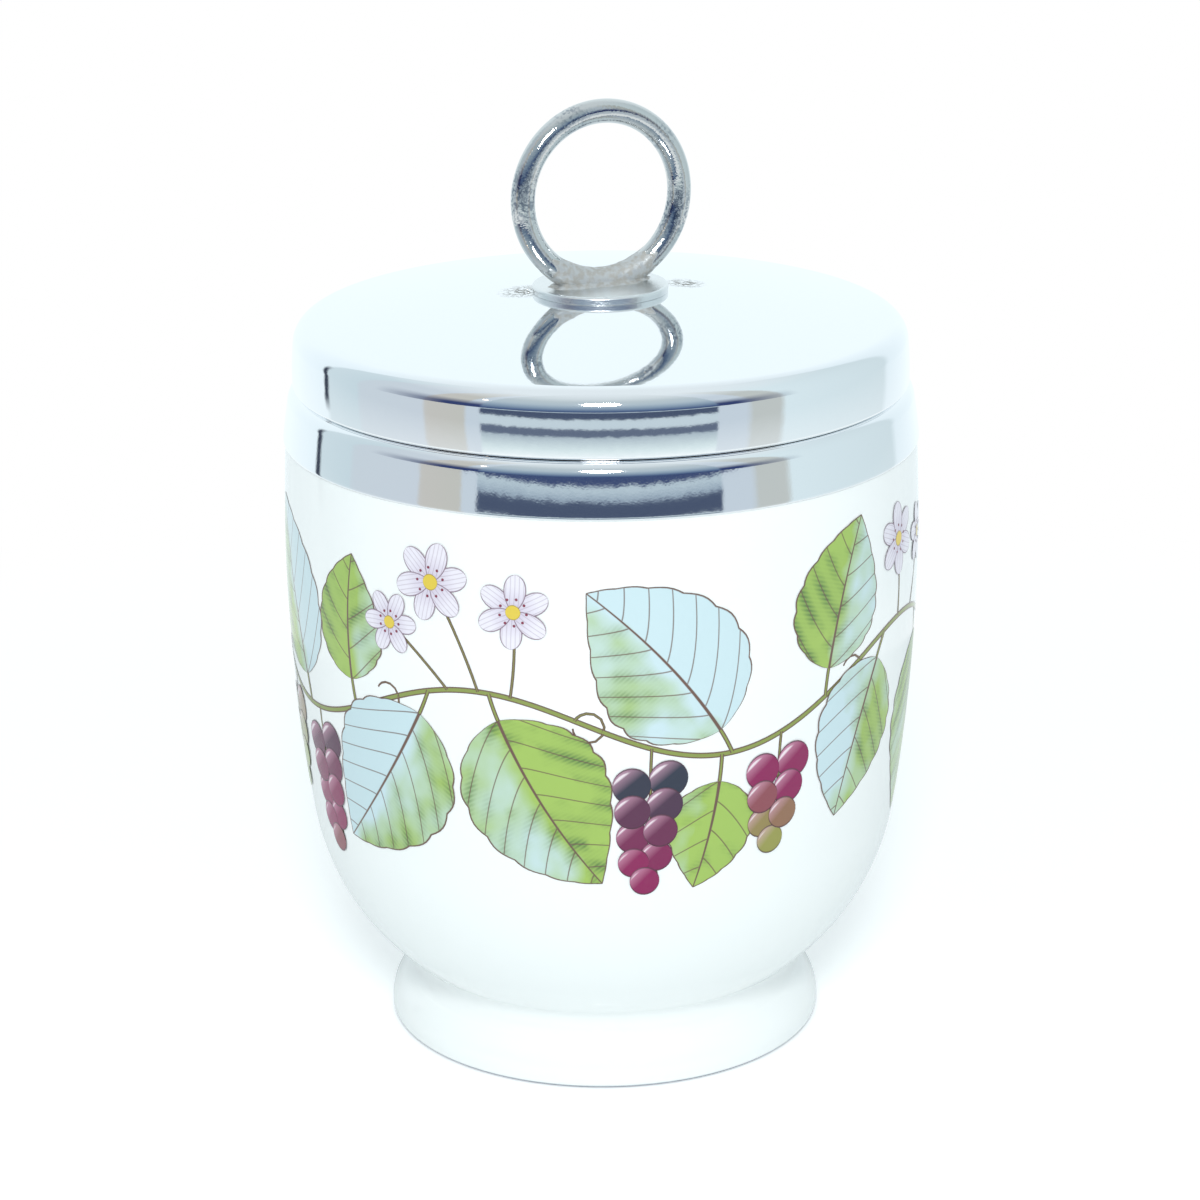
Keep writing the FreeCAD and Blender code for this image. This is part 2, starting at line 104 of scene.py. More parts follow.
class CupSizes(bpy.types.PropertyGroup):
    foot_radius: length("Foot radius", "Outside radius of the foot ring, in mm", 20.7)
    foot_rim: length("Foot rim", "Radial width of the resting ring, in mm", 3.0)
    foot_side: length("Foot side", "Height of the foot's upright side, in mm", 0.9)
    foot_edge: length("Foot edge", "Rounding of the foot's lower edges, in mm", 0.5)
    foot_shoulder: length("Foot shoulder", "Rounding of the foot's upper side, in mm", 4.0)
    waist: length("Waist", "Hollow rounding between foot and bowl, in mm", 1.8)
    foot_recess: length("Foot hollow", "Depth of the hollow under the foot, in mm", 2.4)
    recess_round: length("Hollow's corner", "Rounding inside the foot's hollow, in mm", 0.9)
    bowl_curve: length("Bowl curve", "Section radius of the lower bowl, in mm", 23.2)
    bowl_top: length("Bowl top", "Height where bowl and side meet, in mm", 21.9)
    belly_radius: length("Belly radius", "Largest radius under the fired colours, in mm", 29.61)
    belly_height: length("Belly height", "Height of the largest radius, in mm", 47.5)
    side_curve: length("Side curve", "Section radius of the side, in mm", 181.0)
    wall: length("Wall", "Thickness of the porcelain, in mm", 3.5)
    rim_height: length("Rim height", "Height of the drinking edge, in mm", 65.65)
    rim_inner: length("Mouth radius", "Inside radius of the mouth, in mm", 23.0)
    rim_outer: length("Neck radius", "Outside radius under the collar, in mm", 25.8)
    rim_round: length("Rim edge", "Rounding inside the drinking edge, in mm", 0.6)
    cement: length("Cement", "Gap between cup and collar for the cement, in mm", 0.25)
    porcelain: colour("Porcelain", "White glazed body", "#F8FBFA")
    # Painted shade: this grey is a painted contact shadow along the foot's lower edge, not a colour
    # of the unglazed ring.
    contact_shade: colour("Bare ring", "Unglazed resting ring, greyed by use", "#AEB4BE")


class CollarSizes(bpy.types.PropertyGroup):
    bottom: length("Collar bottom", "Height of the collar's lower edge, in mm", 57.5)
    band_height: length("Band height", "Height of the flared band, in mm", 3.55)
    top_radius: length("Band top", "Radius of the band at its top, in mm", 29.0)
    bottom_radius: length("Band bottom", "Radius of the band at its foot, in mm", 29.5)
    shoulder: length("Collar shoulder", "Rounding above the band, in mm", 1.7)
    crown: degrees("Band crown", "How far the band's wall turns either way between its ends", 1.8)
    sheet: length("Collar sheet", "Thickness of the metal, in mm", 0.6)
    neck_radius: length("Neck root", "Radius at the root of the thread, in mm", 26.65)
    neck_height: length("Neck height", "Height of the threaded neck, in mm", 3.75)
    lip_radius: length("Lip radius", "Inside radius of the turned-in lip, in mm", 24.2)
    plate: colour("Plate", "Bright plating on collar and lid", "#F4F6F8")


class LidSizes(bpy.types.PropertyGroup):
    radius: length("Lid radius", "Outside radius of the lid, in mm", 28.5)
    bottom: length("Skirt bottom", "Height of the skirt's lower edge, in mm", 62.63)
    shoulder_height: length("Shoulder height", "Height of the shoulder's centre, in mm", 66.5)
    shoulder: length("Shoulder", "Rounding between skirt and dome, in mm", 2.23)
    dome: length("Dome", "Radius of the domed top, in mm", 157.0)
    land: length("Land", "Radius of the flat land under the ring's seat, in mm", 6.5)
    sheet: length("Lid sheet", "Thickness of the metal, in mm", 0.6)
    tuck: degrees("Skirt tuck", "How far the skirt's wall leans in at its lower edge", 1.3)
    lean: degrees("Skirt lean", "How far the skirt's wall leans in under the shoulder", 6.5)
    hole: length("Hole", "Radius of the hole for the ring seat's shank, in mm", 1.55)
    liner_outer: length("Liner radius", "Outside radius of the liner, in mm", 27.85)
    liner_sheet: length("Liner sheet", "Thickness of the liner, in mm", 0.55)
    liner_bottom: length("Liner bottom", "Height of the liner's lower edge, in mm", 62.85)
    liner_top: length("Liner top", "Height of the liner's disc, in mm", 67.55)
    pad_foot: length("Pad foot", "Radius where the liner rises to its pad, in mm", 9.0)
    pad_radius: length("Pad radius", "Radius of the liner's raised pad, in mm", 5.5)
    liner_metal: colour("Liner metal", "Plain pressed sheet", "#B9BBB8")
    rubber: colour("Rubber", "Moulded sealing washer", "#8A3B2E")


class ThreadSizes(bpy.types.PropertyGroup):
    pitch: length("Pitch", "Rise of the thread in one turn, in mm", 2.0)
    depth: length("Depth", "Height of the ridge above its root, in mm", 0.5)
    base: length("Base", "Width of the ridge at its root, in mm", 0.9)
    crest: length("Crest", "Width of the ridge at its crest, in mm", 0.5)
    start: length("Start", "Height of both ridges' lower ends, in mm", 63.4)
    neck_rise: length("Neck rise", "Rise of the neck's ridge from end to end, in mm", 2.5)
    liner_rise: length("Liner rise", "Rise of the liner's ridge, in mm", 1.1)


class RingSizes(bpy.types.PropertyGroup):
    seat_radius: length("Seat radius", "Radius of the disc under the ring, in mm", 6.3)
    seat_height: length("Seat height", "Thickness of the disc, in mm", 0.75)
    seat_round: length("Seat edge", "Rounding of the disc's edge, in mm", 0.3)
    shank: length("Shank", "Radius of the shank through the lid, in mm", 1.5)
    head: length("Peened head", "Radius of the shank's peened end, in mm", 2.5)
    head_height: length("Head height", "Thickness of the shank's peened end, in mm", 0.5)
    radius: length("Ring radius", "Radius of the wire's centre line, in mm", 7.8)
    wire: length("Wire radius", "Radius of the bent wire, in mm", 1.1)
    rise: length("Ring rise", "Height of the ring's centre above its seat, in mm", 8.045)
    lap: length("Lap", "How far the wire's end laps past the other, in mm", 0.9)
    lean: degrees("Ring lean", "How far the ring leans to one side on its seat", 1.5)
    plate: colour("Ring plate", "Plate on the ring, dulled by handling", "#CFD1D1")
    worn: colour("Seat plate", "Plate on the seat, rubbed pale", "#E6E9EA")
    braze: colour("Braze", "Grey filler at the ring's foot", "#C1C5C6")
    braze_tan: colour("Braze stain", "Tan stains on the filler", "#B7B6B1")


class PrintSizes(bpy.types.PropertyGroup):
    middle: length("Middle", "Height of the vine's middle line, in mm", 38.9)
    wave: length("Wave", "Height of the vine's waves, in mm", 3.5)
    repeats: IntProperty(
        name="Repeats", description="How often the design goes round the cup", default=2, min=1
    )
    facing: degrees("Facing", "Direction that the design's middle faces", -114.0)
    lift: length("Lift", "Thickness of one layer of fired colour, in mm", 0.008)
    outline: colour("Outline", "Brown pen line", "#6E5349")
    leaf_green: colour("Leaf green", "Warm green wash", "#A3C25F")
    leaf_blue: colour("Leaf blue", "Pale blue wash", "#CBE2E8")
    leaf_dark: colour("Leaf shade", "Deep green shading", "#4E7440")
    stem: colour("Stem", "Green-brown stem", "#8C9A4E")
    berry_green: colour("Unripe currant", "Yellow-green", "#9DB04A")
    berry_ripe: colour("Ripe currant", "Magenta-purple", "#8C1A57")
    berry_dark: colour("Dark currant", "Blue-black", "#2B3345")
    petal: colour("Petal", "Lilac-white petal", "#ECE8F2")


class StageSizes(bpy.types.PropertyGroup):
    azimuth: degrees("Azimuth", "Direction of the camera, from the front to the right", -24.0)
    yaw: degrees("Yaw", "How far the camera looks left of the axis", 0.04)
    distance: length("Distance", "Camera's distance from the axis, in mm", 314.5)
    height: length("Height", "Camera's height, in mm", 144.2)
    pitch: degrees("Pitch", "How far the camera looks down", 18.19)
    roll: degrees("Roll", "Tilt of the camera", -0.4)
    lens: FloatProperty(
        name="Lens", description="Focal length", default=105.0, unit="CAMERA", min=1.0
    )
    floor: colour("Floor", "Plain pale floor", "#F8FBFB")


# ---------------------------------------------------------------- surfaces


def toward(angle):
    """The unit vector at an angle in the plane of a section."""
    return np.array([math.cos(angle), math.sin(angle)])


def rounded_corner(before, corner, after, rounding):
    """The arc that touches both sides of a corner: its centre, and its first and last angle.

    The centre lies on the bisector, at the rounding over the sine of half the corner's angle.
    """
    back, ahead = before - corner, after - corner
    back, ahead = back / np.linalg.norm(back), ahead / np.linalg.norm(ahead)
    half = math.acos(np.clip(back @ ahead, -1, 1)) / 2
    middle = (back + ahead) / np.linalg.norm(back + ahead)
    centre = corner + middle * rounding / math.sin(half)
    feet = [corner + way * rounding / math.tan(half) - centre for way in (back, ahead)]
    first, last = (math.atan2(foot[1], foot[0]) for foot in feet)
    turn = abs((last - first + math.pi) % (2 * math.pi) - math.pi)
    left = back[0] * ahead[1] - back[1] * ahead[0] < 0
    return centre, first, first + (turn if left else -turn)


def outline(*parts, steps=10):
    """A section as (radius, height) points with their outward normals.

    A part of three numbers is a corner (radius, height, rounding); its arc touches both sides.
    A part of five is an arc (centre radius, centre height, radius, first angle, last angle).
    Normals point to the right of the way the section is drawn.
    """
    ends = []
    for part in parts:
        place = np.array(part[:2])
        if len(part) == 3:
            ends.append((place, place))
        else:
            ends.append(tuple(place + part[2] * toward(angle) for angle in part[3:]))
    points, normals = [], []
    for number, part in enumerate(parts):
        ahead = ends[(number + 1) % len(parts)][0]
        if len(part) == 5:
            centre, radius, first, last = np.array(part[:2]), *part[2:]
            quarters = abs(last - first) / math.radians(90)
            count = max(2, int(quarters * 4 * steps) + 2)
        elif part[2] == 0:
            corner = ends[number][0]
            along = corner - ends[number - 1][1] if number else ahead - corner
            along = along / np.linalg.norm(along)
            points.append(corner[None])
            normals.append(np.array([[along[1], -along[0]]]))
            continue
        else:
            radius, count = part[2], steps
            before = ends[number - 1][1]
            centre, first, last = rounded_corner(before, ends[number][0], ahead, radius)
        angle = np.linspace(first, last, count)
        spoke = np.stack([np.cos(angle), np.sin(angle)], axis=1)
        points.append(centre + radius * spoke)
        normals.append(spoke if last > first else -spoke)
    return np.concatenate(points), np.concatenate(normals)


def around(points, normals, columns=256):
    """The section turned about Z: (r cos t, r sin t, z), with t from 0 to a full turn."""
    angle = np.linspace(0, 2 * math.pi, columns + 1)
    circle = np.stack([np.cos(angle), np.sin(angle)], axis=1)
    turned = []
    for section in (points, normals):
        level = section[:, None, :1] * circle[None]
        height = np.repeat(section[:, None, 1:], columns + 1, axis=1)
        turned.append(np.concatenate([level, height], axis=2))
    return {"points": turned[0], "normals": turned[1]}


def cells(index):
    """The four corners of each cell in a grid of point numbers."""
    corners = [index[:-1, :-1], index[:-1, 1:], index[1:, 1:], index[1:, :-1]]
    return np.stack(corners, axis=-1).reshape(-1, 4)


def surface(name, grids, body, material, replaced=()):
    """One object made of grids of points in mm.

    Points that coincide are welded, which closes seams and poles: a cell with one welded side
    becomes a triangle, and one with more is left out. A grid's "marks" are attributes with one
    value for each of its points.
    """
    points = np.concatenate([grid["points"].reshape(-1, 3) for grid in grids]) * MM
    corners, start = [], 0
    for grid in grids:
        rows, columns = grid["points"].shape[:2]
        corners.append(cells(start + np.arange(rows * columns).reshape(rows, columns)))
        start += rows * columns
    corners = np.concatenate(corners)
    keys = np.round(points * 1e8).astype(np.int64)
    _, first, welded = np.unique(keys, axis=0, return_index=True, return_inverse=True)
    shared = welded.reshape(-1)[corners]
    repeated = shared == np.roll(shared, -1, axis=1)
    whole, three = ~repeated.any(axis=1), repeated.sum(axis=1) == 1
    keep = ~repeated[three]
    quads, triangles = shared[whole], shared[three][keep].reshape(-1, 3)
    mesh = bpy.data.meshes.new(name)
    mesh.from_pydata(points[first].tolist(), [], quads.tolist() + triangles.tolist())
    mesh.polygons.foreach_set("use_smooth", np.ones(len(mesh.polygons), dtype=bool))
    for mark in grids[0].get("marks", {}):
        values = np.concatenate([grid["marks"][mark].reshape(-1) for grid in grids])[first]
        attribute = mesh.attributes.new(mark, "FLOAT", "POINT")
        attribute.data.foreach_set("value", values.astype(np.float32))
    if "normals" in grids[0]:
        used = np.concatenate([corners[whole].reshape(-1), corners[three][keep]])
        facing = np.concatenate([grid["normals"].reshape(-1, 3) for grid in grids])[used]
        facing /= np.maximum(np.linalg.norm(facing, axis=1, keepdims=True), 1e-12)
        mesh.normals_split_custom_set(facing.tolist())
    mesh.update()
    piece = bpy.data.objects.new(name, mesh)
    bpy.context.scene.collection.objects.link(piece)
    mesh.materials.append(material)
    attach(piece, body)
    if replaced:
        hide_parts(*replaced)
    return piece


def threaded(grid, wall, sign, rise, half_turns):
    """Raise a helical ridge from the rows of a turned grid that lie on the wall.

    The ridge's height at (angle, z) falls off linearly with the distance from the helix
    z = start + pitch * turns, between half the crest's width and half the base's. It runs out
    over a short part of a turn at both ends.
    """
    thread = bpy.context.scene.coddler_thread
    touching, runout = 0.01, 1 / 14
    points = grid["points"]
    radius = np.hypot(points[..., 0], points[..., 1])
    ridged = np.abs(radius - wall) < touching
    angle = np.linspace(0, 1, points.shape[1])[None] - half_turns / 2
    lowest = np.floor(-angle) + 1
    height = np.zeros_like(radius)
    for lap in (-1, 0, 1):
        turns = angle + lowest + lap
        left = rise / thread.pitch - turns
        ends = np.clip(turns / runout, 0, 1) * np.clip(left / runout, 0, 1)
        away = np.abs(points[..., 2] - thread.start - thread.pitch * turns)
        slope = (thread.base / 2 - away) / (thread.base / 2 - thread.crest / 2)
        height = np.maximum(height, np.clip(slope, 0, 1) * ends)
    scale = (radius + sign * thread.depth * height * ridged) / radius
    points[..., :2] *= scale[..., None]
    down, across = np.gradient(points, axis=0), np.gradient(points, axis=1)
    across[:, 0] = across[:, -1] = (points[:, 1] - points[:, -2]) / 2
    grid["normals"][ridged] = np.cross(across, down)[ridged]
    return grid


# ---------------------------------------------------------------- materials


def add(tree, kind, inputs=None, stops=(), **settings):
    """Add a node, set its properties and its colour stops (place, colour), and fill its inputs
    with values or from other nodes. A Mix node mixes colours."""
    node = tree.nodes.new(kind)
    if kind == MIX:
        node.data_type = "RGBA"
    for name, value in settings.items():
        setattr(node, name, value)
    for socket, value in (inputs or {}).items():
        if isinstance(value, bpy.types.Node):
            value = next(output for output in value.outputs if output.enabled)
        if isinstance(value, bpy.types.NodeSocket):
            tree.links.new(value, node.inputs[socket])
        else:
            node.inputs[socket].default_value = value
    if stops:
        elements = node.color_ramp.elements
        elements[0].color, elements[1].color = linear(stops[0][1]), linear(stops[-1][1])
        for place, code in stops[1:]:
            elements.new(place).color = linear(code)
    return node


def finish(name, **sockets):
    """A material with one Principled shader, which is returned with its node tree."""
    material = bpy.data.materials.new(name)
    material.use_nodes = True
    tree = material.node_tree
    shader = tree.nodes["Principled BSDF"]
    for socket, value in sockets.items():
        shader.inputs[socket.replace("_", " ")].default_value = value
    return material, tree, shader


def feed(tree, shader, **sources):
    """Link nodes to a shader's inputs, which are named with underscores for spaces."""
    for socket, node in sources.items():
        output = next(output for output in node.outputs if output.enabled)
        tree.links.new(output, shader.inputs[socket.replace("_", " ")])


def glazed_porcelain():
    """Bone china under a clear fired glaze: white, glassy and very slightly uneven."""
    sizes = bpy.context.scene.coddler_cup
    material, tree, shader = finish(
        "glazed_porcelain", Base_Color=sizes.porcelain, Roughness=0.07, IOR=1.5
    )
    place = add(tree, COORDINATES).outputs["Object"]
    height = add(tree, "ShaderNodeSeparateXYZ", {0: place}).outputs["Z"]
    # The resting ring is wiped bare of glaze before the firing, up to 0.3 mm.
    rough = add(tree, RANGE, {"Value": height, 1: 0.1 * MM, 2: 0.35 * MM, 3: 0.6, 4: 0.07})
    # Glaze ripples about 12 mm apart.
    ripple = add(tree, NOISE, {"Vector": place, "Scale": 80.0, "Detail": 1.0})
    bump = add(tree, BUMP, {"Strength": 0.05, "Distance": 0.2 * MM, "Height": ripple})
    # Painted shade: the resting ring is coloured grey, a painted contact shadow that shows as a
    # thin line where the foot meets the table; the ring itself is only unglazed, which its
    # roughness gives.
    above_contact_shade = add(tree, RANGE, {"Value": height, 1: 0.2 * MM, 2: 0.32 * MM})
    body = add(tree, MIX, {0: above_contact_shade, 6: sizes.contact_shade, 7: sizes.porcelain})
    feed(tree, shader, Base_Color=body, Roughness=rough, Normal=bump)
    return material


def bright_plate(name, code, roughness, waves, grain):
    """Chromium plate over polished brass: a mirror whose reflections waver a little."""
    material, tree, shader = finish(name, Base_Color=code, Metallic=1.0, Roughness=roughness)
    place = add(tree, COORDINATES).outputs["Object"]
    # Buffing waves about 1.4 mm apart, and in them a grain of about 0.2 mm.
    broad = add(tree, NOISE, {"Vector": place, "Scale": 700.0, "Detail": 1.0})
    fine = add(tree, NOISE, {"Vector": place, "Scale": 5000.0, "Detail": 1.0})
    bump = add(tree, BUMP, {"Strength": waves, "Distance": 0.02 * MM, "Height": broad})
    bump = add(tree, BUMP, {"Distance": grain * 0.01 * MM, "Height": fine, "Normal": bump})
    feed(tree, shader, Normal=bump)
    return material


def pitted(material, spots, apart, depth, code, dullest):
    """Age on a plated piece: round each spot (x, y, z, reach) the plate has lifted in dull specks,
    which lie the given distance apart and have the given depth, both in mm."""
    tree = material.node_tree
    shader = tree.nodes["Principled BSDF"]
    place = add(tree, COORDINATES).outputs["Object"]
    specks = add(tree, NOISE, {"Vector": place, "Scale": 1 / (apart * MM), "Detail": 3.0})
    specks = add(tree, RANGE, {"Value": specks, 1: 0.48, 2: 0.56})
    marred = 0.0
    for *centre, reach in spots:
        away = add(tree, VECTOR_MATH, {0: place, 1: Vector(centre) * MM}, operation="DISTANCE")
        fade = {1: 0.3 * reach * MM, 2: reach * MM, 3: 1.0, 4: 0.0}
        near = add(tree, RANGE, {"Value": away, **fade})
        marred = add(tree, MATH, {0: near, 1: marred}, operation="MAXIMUM")
    pits = add(tree, MATH, {0: specks, 1: marred}, operation="MULTIPLY")
    bright = shader.inputs["Roughness"].default_value
    rough = add(tree, RANGE, {"Value": pits, 3: bright, 4: dullest})
    smooth = shader.inputs["Normal"].links[0].from_node
    bump = add(tree, BUMP, {"Distance": depth * MM, "Height": pits, "Normal": smooth})
    whole = tuple(shader.inputs["Base Color"].default_value)
    body = add(tree, MIX, {0: pits, 6: whole, 7: linear(code)})
    feed(tree, shader, Base_Color=body, Roughness=rough, Normal=bump)


def run_braze(ring):
    """Brazing alloy left as it ran and set: dull, grainy, and mottled grey and tan."""
    material, tree, shader = finish("run_braze", Metallic=0.35)
    place = add(tree, COORDINATES).outputs["Object"]
    # Mottling of about 0.5 mm, and a grain of 0.25 mm.
    stain = add(tree, NOISE, {"Vector": place, "Scale": 2000.0, "Detail": 3.0})
    stained = add(tree, RANGE, {"Value": stain, 1: 0.42, 2: 0.6})
    grain = add(tree, NOISE, {"Vector": place, "Scale": 4000.0, "Detail": 2.0})
    bump = add(tree, BUMP, {"Strength": 0.7, "Distance": 0.05 * MM, "Height": grain})
    rough = add(tree, RANGE, {"Value": stain, 1: 0.35, 2: 0.65, 3: 0.35, 4: 0.65})
    body = add(tree, MIX, {0: stained, 6: ring.braze, 7: ring.braze_tan})
    feed(tree, shader, Base_Color=body, Roughness=rough, Normal=bump)
    return material


def plain_finish(name, code, metallic, roughness, grain, depth):
    """A dull finish with a grain of the given size in mm."""
    material, tree, shader = finish(
        name, Base_Color=code, Metallic=metallic, Roughness=roughness
    )
    place = add(tree, COORDINATES).outputs["Object"]
    noise = add(tree, NOISE, {"Vector": place, "Scale": 1 / (grain * MM), "Detail": 4.0})
    bump = add(tree, BUMP, {"Strength": 0.6, "Distance": depth * MM, "Height": noise})
    smoothest = 0.8 * roughness
    rough = add(tree, RANGE, {"Value": noise, 1: 0.3, 2: 0.7, 3: smoothest, 4: roughness})
    feed(tree, shader, Normal=bump, Roughness=rough)
    return material


def refinish(node, material):
    """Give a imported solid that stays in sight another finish."""
    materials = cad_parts[node].data.materials
    materials.clear()
    materials.append(material)


# ---------------------------------------------------------------- cup


def bowl_arc(cup):
    """The centre of the bowl's arc, and how far the side leans in where it meets the bowl."""
    fall = math.asin((cup.belly_height - cup.bowl_top) / cup.side_curve)
    side = np.array([cup.belly_radius - cup.side_curve, cup.belly_height])
    return side + (cup.side_curve - cup.bowl_curve) * toward(-fall), fall


def side_at(height):
    """Radius and lean of the cup's outside at a height: the side's arc, and under it the bowl's."""
    cup = bpy.context.scene.coddler_cup
    bowl, _ = bowl_arc(cup)
    low = height < cup.bowl_top
    curve = np.where(low, cup.bowl_curve, cup.side_curve)
    centre = np.where(low, bowl[0], cup.belly_radius - cup.side_curve)
    lean = np.arcsin((height - np.where(low, bowl[1], cup.belly_height)) / curve)
    return centre + curve * np.cos(lean), lean


def foot_arcs(cup, bowl):
    """The foot's shoulder, the waist above it and the bowl, as arcs of a section.

    The waist touches the shoulder and the bowl from outside, so its centre is where two circles
    round theirs cross, each wider than the arc by the waist's radius.
    """
    foot = np.array([cup.foot_radius - cup.foot_shoulder, cup.foot_side])
    to_foot, to_bowl = cup.foot_shoulder + cup.waist, cup.bowl_curve + cup.waist
    gap = np.linalg.norm(bowl - foot)
    unit = (bowl - foot) / gap
    along = (to_foot**2 - to_bowl**2 + gap**2) / (2 * gap)
    aside = math.sqrt(to_foot**2 - along**2)
    waist = foot + unit * along + np.array([unit[1], -unit[0]]) * aside
    on_foot = math.atan2(waist[1] - foot[1], waist[0] - foot[0])
    on_bowl = math.atan2(waist[1] - bowl[1], waist[0] - bowl[0])
    return (
        (*foot, cup.foot_shoulder, 0.0, on_foot),
        (*waist, cup.waist, on_foot + math.pi, on_bowl + math.pi),
        (*bowl, cup.bowl_curve, on_bowl, -bowl_arc(cup)[1]),
    )


class CODDLER_OT_cup(bpy.types.Operator):
    """Build the glazed cup"""

    bl_idname = "coddler.cup"
    bl_label = "Cup"

    def execute(self, context):
        cup = context.scene.coddler_cup
        collar = context.scene.coddler_collar
        centre = cup.belly_radius - cup.side_curve
        bowl, fall = bowl_arc(cup)
        foot_inner = cup.foot_radius - cup.foot_rim
        # The side's arc runs on a little behind the collar, and is cut back there for cement.
        hidden = 0.5
        rise = math.asin((collar.bottom + hidden - cup.belly_height) / cup.side_curve)
        behind = collar.sheet + cup.cement
        seat = collar.top_radius - behind
        under = collar.bottom + collar.band_height + collar.shoulder - behind
        # Inside, the wall narrows to the mouth along one arc, whose centre is level with its edge.
        inner = cup.bowl_curve - cup.wall
        narrowing = cup.belly_radius - cup.wall - cup.rim_inner
        edge = cup.rim_height - cup.rim_round
        mouth_rise = edge - cup.belly_height
        mouth = (mouth_rise**2 + narrowing**2) / (2 * narrowing)
        mouth_turn = math.asin(mouth_rise / mouth)
        section = outline(
            (0.0, cup.foot_recess, 0.0),
            (foot_inner, cup.foot_recess, cup.recess_round),
            (foot_inner, 0.0, cup.foot_edge),
            (cup.foot_radius, 0.0, cup.foot_edge),
            *foot_arcs(cup, bowl),
            (centre, cup.belly_height, cup.side_curve, -fall, rise),
            (seat, collar.bottom + 0.6, 0.1),
            (seat, under - 0.2, 0.3),
            (cup.rim_outer, under, 0.2),
            (cup.rim_outer, cup.rim_height, 0.3),
            (cup.rim_inner + cup.rim_round, edge, cup.rim_round, math.pi / 2, math.pi),
            (cup.rim_inner + mouth, edge, mouth, math.pi, math.pi + mouth_turn),
            (centre, cup.belly_height, cup.side_curve - cup.wall, 0.0, -fall),
            (*bowl, inner, -fall, -math.pi / 2),
            (0.0, bowl[1] - inner, 0.0),
        )
        body = around(*section)
        surface("glazed_cup", [body], "cup", glazed_porcelain(), ["porcelain_cup"])
        return {"FINISHED"}


# ---------------------------------------------------------------- collar, lid and seal


class CODDLER_OT_collar(bpy.types.Operator):
    """Build the plated screw collar, and finish the cement behind it"""

    bl_idname = "coddler.collar"
    bl_label = "Screw collar"

    def execute(self, context):
        collar = context.scene.coddler_collar
        thread = context.scene.coddler_thread
        sheet, top = collar.sheet, collar.bottom + collar.band_height
        ledge = top + collar.shoulder
        neck_top = ledge + collar.neck_height
        neck_inner = collar.neck_radius - sheet
        # The band's wall is an arc that touches the shoulder's, so it is crowned by a hair.
        lean = math.atan2(collar.bottom_radius - collar.top_radius, collar.band_height)
        low, high = lean - collar.crown, lean + collar.crown
        shoulder = np.array([collar.top_radius - collar.shoulder, top])
        rise = collar.band_height + collar.shoulder * math.sin(high)
        curve = rise / (math.sin(high) - math.sin(low))
        centre = shoulder - (curve - collar.shoulder) * toward(high)
        rows = np.linspace(ledge + 0.3, neck_top - 0.2, 45)
        section = outline(
            (collar.bottom_radius - sheet, collar.bottom, 0.0),
            (collar.bottom_radius - 0.02, collar.bottom, 0.2),
            (*centre, curve, low + 0.2 * collar.crown, high),
            (*shoulder, collar.shoulder, high, math.pi / 2),
            (collar.neck_radius, ledge, 0.2),
            *[(collar.neck_radius, height, 0.0) for height in rows],
            (collar.neck_radius, neck_top, 0.15),
            (collar.lip_radius, neck_top, 0.25),
            (collar.lip_radius, neck_top - sheet, 0.2),
            (neck_inner, neck_top - sheet, 0.0),
            (neck_inner, ledge - sheet, 0.0),
            (collar.top_radius - sheet, ledge - sheet, 0.3),
            (collar.bottom_radius - sheet, collar.bottom, 0.0),
        )
        grid = threaded(around(*section, columns=360), collar.neck_radius, 1, thread.neck_rise, 0)
        plate = bright_plate("chromium_plate_collar", collar.plate, 0.045, 0.12, 0.1)
        surface("plated_collar", [grid], "cup", plate, ["screw_collar"])
        cement = plain_finish("setting_cement", linear("#D8D4CA"), 0.0, 0.9, 0.6, 0.05)
        refinish("collar_cement", cement)
        return {"FINISHED"}


def lid_section(lid):
    """The cap's section: a rolled hem, the skirt, the shoulder and the dome, each an arc that
    touches the next, and the same arcs back on the inside, a sheet's thickness in."""
    hem, inner = lid.sheet / 2, lid.sheet
    low, high = -lid.tuck, lid.lean
    foot = lid.bottom + hem
    rise = lid.shoulder_height + lid.shoulder * math.sin(high) - foot
    curve = rise / (math.sin(high) - math.sin(low))
    wall = np.array([lid.radius - curve, foot - curve * math.sin(low)])
    shoulder = wall + (curve - lid.shoulder) * toward(high)
    dome = shoulder[1] - math.sqrt((lid.dome - lid.shoulder) ** 2 - shoulder[0] ** 2)
    edge = math.atan2(shoulder[1] - dome, shoulder[0])
    land = math.acos(lid.land / lid.dome)
    top = dome + lid.dome * math.sin(land)
    rolled = wall + (curve - hem) * toward(low)
    return outline(
        (*rolled, hem, -math.pi, low),
        (*wall, curve, low, high),
        (*shoulder, lid.shoulder, high, edge),
        (0.0, dome, lid.dome, edge, land),
        (lid.hole, top, 0.05),
        (lid.hole, top - inner, 0.05),
        (0.0, dome, lid.dome - inner, land, edge),
        (*shoulder, lid.shoulder - inner, edge, high),
        (*wall, curve - inner, high, low),
        (rolled[0] - hem, rolled[1], 0.0),
    )


